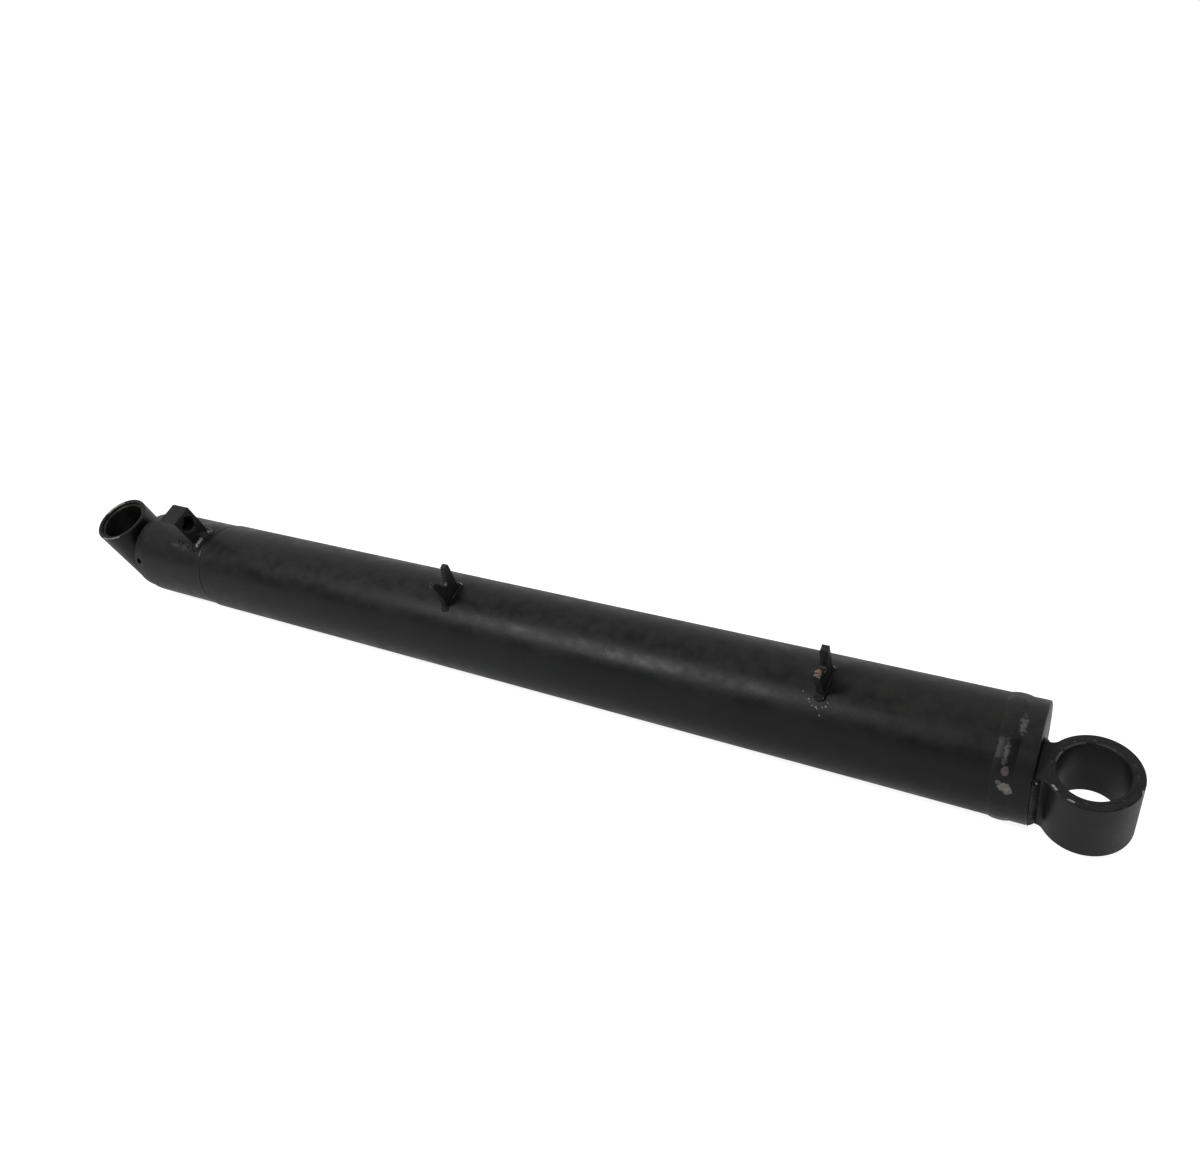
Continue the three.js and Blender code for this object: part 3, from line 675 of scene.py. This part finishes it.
def around_rectangle(half_x, half_y, corner, step):
    """(x, y, normal x, normal y, distance) round a rounded rectangle, anticlockwise."""
    made, distance = [], 0.0
    quarter = math.pi / 2
    spots = [(1, -1), (1, 1), (-1, 1), (-1, -1)]
    for k, (sx, sy) in enumerate(spots):
        start = (k - 1) * quarter
        centre = (sx * (half_x - corner), sy * (half_y - corner))
        turns = max(3, round(corner * quarter / step))
        for i in range(turns):
            t = start + quarter * i / turns
            n = (math.cos(t), math.sin(t))
            made.append((centre[0] + corner * n[0], centre[1] + corner * n[1], *n, distance))
            distance += corner * quarter / turns
        side = 2 * ((half_y if k % 2 == 0 else half_x) - corner)
        parts = max(1, round(side / step))
        n = (math.cos(start + quarter), math.sin(start + quarter))
        along = (-n[1], n[0])
        for i in range(parts):
            x = centre[0] + corner * n[0] + along[0] * side * i / parts
            y = centre[1] + corner * n[1] + along[1] * side * i / parts
            made.append((x, y, *n, distance))
            distance += side / parts
    return made


def foot_weld(half_x, half_y, legs, height, seat_r, seed):
    """A lumpy fillet weld round the foot of a piece that stands on a cylinder along X.

    legs are its widths on the sides that face along X and along Y; its height follows the width.
    """
    rows = []
    corner_r, step = 1.2, 0.35
    for x, y, nx, ny, along in around_rectangle(half_x, half_y, corner_r, step):
        leg = math.hypot(legs[0] * nx, legs[1] * ny)
        reach = leg * (1 + 0.22 * waver(along, 7, seed) + 0.10 * waver(along, 2, seed + 9))
        climb = height * leg / max(legs) * (1 + 0.20 * waver(along, 5, seed + 3))
        base = math.sqrt(seat_r ** 2 - y ** 2)
        far_x, far_y = x + nx * reach, y + ny * reach
        corner = Vector((x, y, base))
        wall = Vector((x, y, base + climb))
        floor = Vector((far_x, far_y, math.sqrt(seat_r ** 2 - far_y ** 2)))
        swell = 0.12 * leg * (1 + waver(along, 3, seed + 5))
        rows.append(bead_section(wall, corner, floor, swell, along, seed))
    return sweep(rows, True)


# ---- barrel --------------------------------------------
def build_barrel_tube():
    start, root, lip = CAP_WELD["to"] - CAP_WELD["lap"], CAP["root"] + CAP["root_gap"], SEAM["lip"]
    profile = [
        (root, BORE_R), (TUBE_END, BORE_R), (TUBE_END, TUBE_R - lip), (TUBE_END - lip, TUBE_R),
        (start, TUBE_R), (root, TUBE_R - CAP_WELD["groove"]),
    ]
    points, faces = lathe(rounded(profile, EASE["tube"]))
    piece("barrel", points, faces, placed(), "tube", "barrel_tube")


def build_base_cap():
    edge, spigot_r = CAP["edge"], BORE_R - RUNNING_GAP
    profile = [
        (0, 0), (0, TUBE_R - edge), (edge, TUBE_R), (CAP_WELD["from"] + CAP_WELD["lap"], TUBE_R),
        (CAP["root"], CAP["root_r"]), (CAP["root"], spigot_r),
        (CAP["spigot_end"] - CAP["chamfer"], spigot_r), (CAP["spigot_end"], spigot_r - CAP["chamfer"]),
        (CAP["spigot_end"], 0),
    ]
    points, faces = lathe(rounded(profile, EASE["cap"], loop=False), loop=False)
    piece("end_cap", points, faces, placed(), "cap", "base_cap")


def build_girth_weld():
    """The weld between cap and tube: a low, slightly lumpy crown that laps unevenly over both edges."""
    middle, half = (CAP_WELD["from"] + CAP_WELD["to"]) / 2, (CAP_WELD["to"] - CAP_WELD["from"]) / 2
    count, steps = 540, 18
    rows = []
    for i in range(count):
        turn = 2 * math.pi * i / count
        loop = Vector((math.cos(turn), math.sin(turn), 0)) * 2.2
        shift = CAP_WELD["wander"] * noise.noise(loop * 2 + Vector((0, 0, 4)))
        wide = half + CAP_WELD["wander"] * noise.noise(loop * 2.6)
        tall = CAP_WELD["crown"] * (1 + 0.35 * noise.noise(loop * 3.1 + Vector((5, 0, 0))))
        along = turn * TUBE_R
        profile = [(middle + shift, TUBE_R - CAP_WELD["groove"])]
        for k in range(steps + 1):
            v = 2 * k / steps - 1
            dome = (1 - v * v) ** 0.75
            lift = dome * (tall + 0.07 * ripple(along, v, 3.1, 2.5)) - 0.10 * (1 - dome)
            profile.append((middle + shift + wide * v, TUBE_R + lift))
        rows.append([(-s, -r * math.sin(turn), r * math.cos(turn)) for s, r in profile])
    points, faces = sweep(rows, True)
    piece("girth_weld", points, faces, placed(), "weld", "base_cap_weld")


def build_collar():
    edge, lip = COLLAR["edge"], SEAM["lip"]
    profile = [
        (COLLAR_START, BORE_R), (COLLAR["thread_from"] - COLLAR["relief"], BORE_R),
        (COLLAR["thread_from"], COLLAR["thread_r"]), (COLLAR_END, COLLAR["thread_r"]),
        (COLLAR_END, COLLAR_R - edge), (COLLAR_END - edge, COLLAR_R),
        (COLLAR_START + lip, COLLAR_R), (COLLAR_START, COLLAR_R - lip),
    ]
    points, faces = lathe(rounded(profile, EASE["tube"]))
    piece("collar", points, faces, placed(), "collar", "head_collar")


def build_seam_weld():
    """The thin closing weld in the groove between tube and collar, just below their surfaces."""
    start, end = TUBE_END - SEAM["overlap"], COLLAR_START + SEAM["overlap"]
    low, high = COLLAR_R - SEAM["depth"], COLLAR_R - SEAM["sink"]
    middle = ((start + end) / 2, high - SEAM["dip"])

    def sag(station, radius, turn):
        wave = noise.noise(Vector((math.cos(turn), math.sin(turn), 0)) * 3)
        return station, radius + (SEAM["sag"] * wave if radius > low else 0)

    profile = [(start, low), (end, low), (end, high), middle, (start, high)]
    points, faces = lathe(profile, 288, shape=sag)
    piece("seam_weld", points, faces, placed(), "weld", "collar_seam_weld")


# ---- base lug ------------------------------------------
def lug_outline():
    reach_y = NECK["half"] + NECK["fillet"]
    reach_x = math.sqrt((LUG["ring_r"] + NECK["fillet"]) ** 2 - reach_y ** 2)
    fillet_x = LUG["reach"] - reach_x
    meet = math.atan2(reach_y, -reach_x)
    ring = arc(LUG["reach"], 0, LUG["ring_r"], -meet, meet, 120)
    upper = arc(fillet_x, reach_y, NECK["fillet"], meet - math.pi, -math.pi / 2, 14)[1:]
    lower = arc(fillet_x, -reach_y, NECK["fillet"], math.pi / 2, math.pi - meet, 14)[:-1]
    return [*ring, *upper, (SEAT_GAP, NECK["half"]), (SEAT_GAP, -NECK["half"]), *lower]


def build_base_eye():
    """The lug with its round eye, and the bushing in it."""
    hole = (LUG["reach"], 0, PIN["bush_r"] + LUG_BORE["gap"], LUG_BORE["mouth"], None)
    points, faces = slab(lug_outline(), LUG["half"], LUG["edge"], [hole])
    piece("lug", points, faces, LUG_AT, "eye", "base_eye")
    points, faces = bushing(LUG["half"], PIN["bush_r"])
    piece("lug_bushing", points, faces, PIN_AT, "painted_bushing", "base_eye_bushing")


def build_lug_weld(name, side, unrest):
    """A bead down one side of the lug's neck, which thins out at its ends."""
    rows = []
    steps = 96
    reach = LUG["half"] - NECK["bead_margin"]
    for i in range(steps + 1):
        z = (2 * i / steps - 1) * reach
        wave = 0.30 * waver(z, 6, 11 + side) + 0.12 * waver(z, 2, 5)
        taper = min(1, (reach - abs(z)) / 3 + 0.55)
        leg = NECK["bead"] * (1 + unrest * wave)
        climb = NECK["bead"] * (1 + unrest * 0.24 * waver(z, 5, 17 + side))
        corner = Vector((0, side * NECK["half"], z))
        floor = Vector((0, side * (NECK["half"] + leg * taper), z))
        wall = Vector((climb * taper, side * NECK["half"], z))
        rows.append(bead_section(wall, corner, floor, 0.45 * unrest * taper, z + 40, 19 + side))
    points, faces = sweep(rows, False)
    piece(f"lug_weld_{name}", points, faces, LUG_AT, "weld", f"base_eye_weld_{name}")


def bushing(half, outside):
    """A bushing along local Z, with rounded mouths."""
    edge, bore, lip = PIN["edge"], PIN["bore_r"], PIN["lip"]
    profile = [
        (-half, bore + edge), (-half, outside - lip), (lip - half, outside), (half - lip, outside),
        (half, outside - lip), (half, bore + edge), (half - edge, bore), (edge - half, bore),
    ]
    points, faces = lathe(rounded(profile, EASE["cap"]), FINE_SEGMENTS)
    return upright(points), faces


# ---- ports and brackets --------------------------------
def build_port(name, station, tilt, seat_r, seed):
    """A square block that stands on the barrel, with its threaded port facing the base end."""
    half = PORT["half"]
    spread = math.asin(half / seat_r)
    foot = arc(0, 0, seat_r - FOOT_SINK, math.pi / 2 - spread, math.pi / 2 + spread, 16)
    outline = rounded([(-half, PORT["top"]), *reversed(foot), (half, PORT["top"])], EASE["port"])
    hole = (0, PORT["axis"], PORT["hole_r"], PORT["mouth"], PORT["depth"])
    points, faces = slab(outline, half, PORT["edge"], [hole])
    piece(f"{name}_port", on_edge(points), faces, placed(tilt, station), "fitting", f"{name}_port_block")
    points, faces = foot_weld(half, half, PORT_WELD["legs"], PORT_WELD["height"], seat_r, seed)
    piece(f"{name}_port_fillet", points, faces, placed(tilt, station), "weld", f"{name}_port_weld")


def bracket_outline():
    """The forked plate's outline across the barrel, from its foot up each arm to the notch."""
    foot_half = BRACKET["foot"]
    spread = math.asin(foot_half / TUBE_R)
    foot = arc(0, 0, TUBE_R - FOOT_SINK, math.pi / 2 + spread, math.pi / 2 - spread, 12)
    rise = math.sqrt(TUBE_R ** 2 - foot_half ** 2) + BRACKET["waist_rise"]
    half, top = ARMS["half"], ARMS["top"]
    right = [
        (BRACKET["waist"], rise), (half, top - ARMS["shoulder"]), (half - ARMS["corner"], top),
        (half - ARMS["tip"], top - ARMS["slope"]),
    ]
    root = arc(0, NOTCH["height"], NOTCH["r"], 0, -math.pi, 16)
    left = [(-x, y) for x, y in reversed(right)]
    up = rounded([foot[-1], *right, root[0]], EASE["bracket"], loop=False)
    down = rounded([root[-1], *left, foot[0]], EASE["bracket"], loop=False)
    return [*foot, *up[1:-1], *root, *down[1:-1]]


def build_bracket(name, seed):
    """A forked plate on edge across the barrel. Its flame-cut rim wavers slightly."""
    outline = bracket_outline()
    ragged = []
    for i, (x, y) in enumerate(outline):
        shift = 0.16 * waver(i * 2.0, 3, seed) if y > TUBE_R + 2 else 0.0
        ragged.append((x + shift * math.copysign(1, x), y + shift))
    half = BRACKET["thickness"] / 2
    points, faces = slab(ragged, half, BRACKET["edge"])
    at = placed(TILT["line"], BRACKET_STATION[name])
    piece(f"{name}_bracket", on_edge(points), faces, at, "fitting", f"line_bracket_{name}")
    legs, height = BRACKET_WELD["legs"], BRACKET_WELD["height"]
    points, faces = foot_weld(half, BRACKET["foot"], legs, height, TUBE_R, seed)
    piece(f"{name}_bracket_fillet", points, faces, at, "weld", f"line_bracket_weld_{name}")


# ---- gland, rod and rod eye ----------------------------
def carve(shown, tools):
    """Cuts the tools out of a piece and keeps the result as its mesh."""
    for tool in tools:
        cut = shown.modifiers.new("cut", "BOOLEAN")
        cut.operation, cut.solver, cut.object = "DIFFERENCE", "EXACT", tool
        shown.modifiers.move(len(shown.modifiers) - 1, 0)
    bpy.context.view_layer.update()
    weighted = shown.modifiers["weighted"]
    weighted.show_viewport = False
    carved = bpy.data.meshes.new_from_object(shown.evaluated_get(bpy.context.evaluated_depsgraph_get()))
    for cut in [m for m in shown.modifiers if m.type == "BOOLEAN"]:
        shown.modifiers.remove(cut)
    weighted.show_viewport = True
    made = bmesh.new()
    made.from_mesh(carved)
    soften(made)
    made.to_mesh(carved)
    made.free()
    shown.data = carved
    for tool in tools:
        bpy.data.objects.remove(tool)


def drill_tool(matrix, radius, depth):
    """A drill standing along local Z from -depth to depth, with a 118-degree point below."""
    profile = [(depth, 0), (depth, radius), (-depth, radius), (-depth - 0.6 * radius, 0)]
    points, faces = lathe(profile, 48, loop=False)
    return add_mesh("drill", upright(points), faces, matrix)


def build_gland():
    """The gland, with its grooves, its countersunk mouth and the spanner holes."""
    bore, land = ROD["r"] + RUNNING_GAP, BORE_R - RUNNING_GAP
    recess_from = GLAND_END - GLAND_FACE["recess"]
    shoulder = COLLAR_END + GLAND["shoulder_gap"]
    face_r, edge = GLAND["face_r"], GLAND_FACE["edge"]
    nose_from, nose_r, nose_edge = GLAND_NOSE["from"], GLAND_NOSE["r"], GLAND_NOSE["edge"]
    inner = [p for low, high, r in ROD_GROOVES for p in ((low, bore), (low, r), (high, r), (high, bore))]
    low, high, still = STATIC_GROOVE
    profile = [
        (nose_from, bore), *inner, (WIPER_FROM, bore), (WIPER_FROM, GLAND_FACE["floor_r"]),
        (recess_from, GLAND_FACE["floor_r"]), (GLAND_END, GLAND_FACE["recess_r"]),
        (GLAND_END, face_r - edge), (GLAND_END - edge, face_r),
        (shoulder, GLAND["flange_r"]), (shoulder, GLAND["thread_r"]),
        (COLLAR["thread_from"], GLAND["thread_r"]), (COLLAR["thread_from"] - COLLAR["relief"], land),
        (high, land), (high, still), (low, still), (low, land),
        (GLAND_NOSE["to"] + 1, land), (GLAND_NOSE["to"], nose_r), (nose_from + nose_edge, nose_r),
        (nose_from, nose_r - nose_edge),
    ]
    points, faces = lathe(rounded(profile, EASE["turned"]))
    shown = piece("gland", points, faces, placed(), "collar", "head_gland")
    tools = []
    for i in range(SPANNER["count"]):
        at = placed(TILT["spanner"] + 360 * i / SPANNER["count"], GLAND_END - SPANNER["inset"])
        mouth = at @ Matrix.Translation((0, 0, face_r))
        tools.append(drill_tool(mouth, SPANNER["hole_r"], SPANNER["depth"]))
    carve(shown, tools)


def build_wiper():
    """The wiper's body sits in the gland's mouth, with a thin lip that leans out along the rod."""
    low, high = WIPER_FROM + RUNNING_GAP, GLAND_END - GLAND_FACE["recess"]
    inner, outer = ROD["r"] + 0.08, GLAND_FACE["floor_r"] - 0.1
    profile = [
        (low, inner + 1.2), (low, outer), (high, outer), (high, outer - 1.6), (high - 1.3, inner + 2.0),
        (high + 0.9, inner + 0.35), (high + 0.9, inner), (high - 0.6, inner), (high - 2, inner + 1.0),
    ]
    points, faces = lathe(rounded(profile, EASE["wiper"]))
    piece("wiper", points, faces, placed(), "urethane", "rod_wiper")


def saddle(y, z):
    """The station where the cross tube's surface lies, ahead of a point across the bore axis."""
    turn = math.radians(TILT["rod_eye"])
    across = y * math.cos(turn) + z * math.sin(turn)
    return EYE["station"] - math.sqrt(max(0.0, EYE["r"] ** 2 - across ** 2))


def build_rod():
    """The rod, with its end coped to the cross tube."""
    step, edge, shoulder = ROD["step_r"], ROD["edge"], ROD["shoulder"]
    far = EYE["station"] - EYE["r"]

    def coped(station, radius, turn):
        if station < far:
            return station, radius
        return saddle(-radius * math.sin(turn), radius * math.cos(turn)) - SEAT_GAP, radius

    turned = [
        (ROD["end"], 0), (ROD["end"], step - edge), (ROD["end"] + edge, step), (shoulder, step),
        (shoulder, ROD["r"] - edge), (shoulder + edge, ROD["r"]), (far - 5, ROD["r"]),
    ]
    cope = [(far, ROD["r"]), (far, ROD["r"] / 2), (far, 0)]
    profile = rounded(turned, EASE["cap"], loop=False) + cope
    points, faces = lathe(profile, loop=False, shape=coped)
    piece("rod", points, faces, placed(), "chrome", "piston_rod")


def build_rod_eye():
    """The cross tube and its bushing."""
    half, outside, seat = EYE["half"], EYE["r"], EYE_BUSH["r"] + SEAT_GAP
    edge, mouth = EYE["edge"], EYE["mouth"]
    profile = [
        (mouth - half, seat), (-half, seat + mouth), (-half, outside - edge), (edge - half, outside),
        (half - edge, outside), (half, outside - edge), (half, seat + mouth), (half - mouth, seat),
    ]
    points, faces = lathe(rounded(profile, EASE["turned"]))
    piece("cross_tube", upright(points), faces, EYE_AT, "eye", "rod_eye")
    points, faces = bushing(half - EYE_BUSH["recess"], EYE_BUSH["r"])
    piece("cross_tube_bushing", points, faces, EYE_AT, "bushing", "rod_eye_bushing")


def build_rod_eye_weld():
    """The bead round the rod where it meets the cross tube."""
    rows = []
    count = 300
    for i in range(count):
        turn = 2 * math.pi * i / count
        out = Vector((0, -math.sin(turn), math.cos(turn)))
        along = turn * ROD["r"]
        loop = Vector((math.cos(turn), math.sin(turn), 0))
        reach = EYE_WELD_LEG * (1 + 0.14 * noise.noise(loop * 2.4))
        near, far = out * ROD["r"], out * (ROD["r"] + reach)
        corner = Vector((-saddle(near.y, near.z), near.y, near.z))
        floor = Vector((-saddle(far.y, far.z), far.y, far.z))
        wall = corner + Vector((reach, 0, 0))
        rows.append(bead_section(wall, corner, floor, 0.3, along, 31))
    points, faces = sweep(rows, True)
    piece("cross_tube_weld", points, faces, placed(), "weld", "rod_eye_weld")


# ---- weld spatter --------------------------------------
def build_spatter():
    """Beads of spatter stuck to the barrel near its welds, each a flattened drop half sunk in the paint."""
    sites = [
        (BRACKET_STATION["front"], TILT["line"], 13), (BRACKET_STATION["rear"], TILT["line"], 13),
        (PORT_STATION["rod"], TILT["line"] + 12, 17), (18, 70, 12),
    ]
    drops, flatness, seed = 9, 0.7, 5
    # noise_vector starts from the clock unless it is seeded, and the drops would lie elsewhere in each run.
    noise.seed_set(seed)
    points, faces = [], []
    drop = bmesh.new()
    bmesh.ops.create_icosphere(drop, subdivisions=2, radius=1.0)
    shape = [Vector((v.co.x, v.co.y, v.co.z * flatness)) for v in drop.verts]
    skin = [tuple(v.index for v in f.verts) for f in drop.faces]
    drop.free()
    for site, (station, tilt, spread) in enumerate(sites):
        for k in range(drops):
            key = Vector((site * 3.7 + 0.5, k * 1.9 + 0.3, 2.2))
            away = noise.noise_vector(key * 5.1) * 2.4 * spread
            at_station = station + away.x
            at_tilt = tilt + math.degrees(away.y / TUBE_R)
            radius = COLLAR_R if at_station > TUBE_END else TUBE_R
            size = 0.28 + 0.30 * abs(noise.noise(key * 9.7))
            turn = Matrix.Rotation(math.radians(at_tilt), 4, "X")
            centre = Matrix.Translation((-at_station, 0, 0)) @ turn @ Matrix.Translation((0, 0, radius))
            start = len(points)
            points.extend(tuple(centre @ (c * size)) for c in shape)
            faces.extend(tuple(start + i for i in f) for f in skin)
    shown = piece("weld_spatter", points, faces, placed(), "weld", None)
    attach(shown, frame["nodes"]["barrel_tube"]["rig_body"])


# ---- carried-over CAD nodes ----------------------------
KEPT = {
    "rod_seal": "urethane", "rod_buffer_seal": "resin", "rod_wear_band": "resin", "gland_o_ring": "rubber",
    "gland_backup_ring": "ptfe", "piston": "iron", "piston_static_o_ring": "rubber", "piston_nut": "zinc",
    "piston_seal_energizer": "rubber", "piston_seal": "ptfe", "piston_wear_band_1": "resin",
    "piston_wear_band_2": "resin",
}


def finish_kept_nodes():
    for node, look in KEPT.items():
        shown = frame["nodes"][node]
        shown.data.materials.clear()
        shown.data.materials.append(MATERIALS[look])


build_barrel_tube()
build_base_cap()
build_girth_weld()
build_collar()
build_seam_weld()
build_base_eye()
build_lug_weld("upper", 1, 1)
build_lug_weld("lower", -1, 0.4)
build_port("rod", PORT_STATION["rod"], TILT["line"], COLLAR_R, 5)
build_port("base", PORT_STATION["base"], TILT["base_port"], TUBE_R, 8)
build_bracket("front", 3)
build_bracket("rear", 6)
build_gland()
build_wiper()
build_rod()
build_rod_eye()
build_rod_eye_weld()
build_spatter()
finish_kept_nodes()


# ---- floor, light and camera ---------------------------
# The camera's place is in metres from the middle of the cap's end face. It looks down and left by degrees.
CAMERA = {"place": (0.03192, -0.57893, 0.30859), "down": 20.67, "turn": 30.19, "lens": 29.67, "sensor": 36}
# Each light's name, place, aim, width and height in metres, and power in watts.
LIGHTS = [
    ("key_panel", (-0.85, -1.66, 1.38), (0.1, 0, 0.05), (0.55, 0.45), 23),
    ("top_panel", (0.3, 0.4, 2.6), (0, 0, 0), (2.4, 2.4), 8),
]


def build_floor():
    """A wide pale table. To the camera it glows, so that it runs into the room's white without a line."""
    radius = 30.0
    mesh = bpy.data.meshes.new("floor")
    loop = circle(0, 0, radius, 96)
    mesh.from_pydata([(x, y, 0) for x, y in loop], [], [tuple(range(len(loop)))])
    floor = add_object("floor", mesh)
    look = Look("floor_paper")
    tone = look.mix(look.ramp(look.noise(300, 3), 0.3, 0.7), grey(0.52), grey(0.55))
    glow = look.blend(look.node("LightPath").outputs["Is Camera Ray"], 0.36, 0.90)
    look.shader.inputs["Emission Color"].default_value = (1, 1, 1, 1)
    look.shader.inputs["Specular IOR Level"].default_value = 0
    mesh.materials.append(look.done(Base_Color=tone, Roughness=0.9, Emission_Strength=glow))


def build_world():
    """A studio room: white as a backdrop, but as light it is dim overhead and in front of the object."""
    world = bpy.data.worlds.new("room")
    bpy.context.scene.world = world
    world.use_nodes = True
    nodes, links = world.node_tree.nodes, world.node_tree.links
    parts = nodes.new("ShaderNodeSeparateXYZ")
    links.new(nodes.new("ShaderNodeTexCoord").outputs["Generated"], parts.inputs[0])

    def fade(axis, start, end, at_start, at_end):
        made = nodes.new("ShaderNodeMapRange")
        made.interpolation_type = "SMOOTHSTEP"
        links.new(parts.outputs[axis], made.inputs["Value"])
        settings = {"From Min": start, "From Max": end, "To Min": at_start, "To Max": at_end}
        for name, value in settings.items():
            made.inputs[name].default_value = value
        return made.outputs[0]

    room = nodes.new("ShaderNodeMath")
    room.operation = "MULTIPLY"
    links.new(fade("Z", 0.35, 0.85, 0.85, 0.25), room.inputs[0])
    links.new(fade("Y", -0.60, 0.15, 0.12, 1.0), room.inputs[1])
    seen = nodes.new("ShaderNodeMix")
    links.new(nodes.new("ShaderNodeLightPath").outputs["Is Camera Ray"], seen.inputs["Factor"])
    links.new(room.outputs[0], seen.inputs["A"])
    seen.inputs["B"].default_value = 1.0
    links.new(seen.outputs["Result"], nodes["Background"].inputs["Strength"])
    nodes["Background"].inputs["Color"].default_value = (1, 1, 1, 1)


def add_light(name, location, aim, size, power):
    data = bpy.data.lights.new(name, "AREA")
    data.shape, data.size, data.size_y = "RECTANGLE", size[0], size[1]
    data.energy = power
    light = add_object(name, data)
    light.location = location
    light.rotation_mode = "QUATERNION"
    light.rotation_quaternion = (Vector(aim) - Vector(location)).to_track_quat("-Z", "Y")


def build_camera():
    data = bpy.data.cameras.new("camera")
    data.lens = CAMERA["lens"]
    data.sensor_width = CAMERA["sensor"]
    camera = add_object("camera", data)
    camera.location = CAP_FACE + Vector(CAMERA["place"])
    camera.rotation_euler = (math.radians(90 - CAMERA["down"]), 0, math.radians(CAMERA["turn"]))
    bpy.context.scene.camera = camera


build_floor()
build_world()
for light in LIGHTS:
    add_light(*light)
build_camera()
bpy.context.scene.view_settings.view_transform = "Standard"


def corners(box):
    return [list(box[0]), list(box[1])]
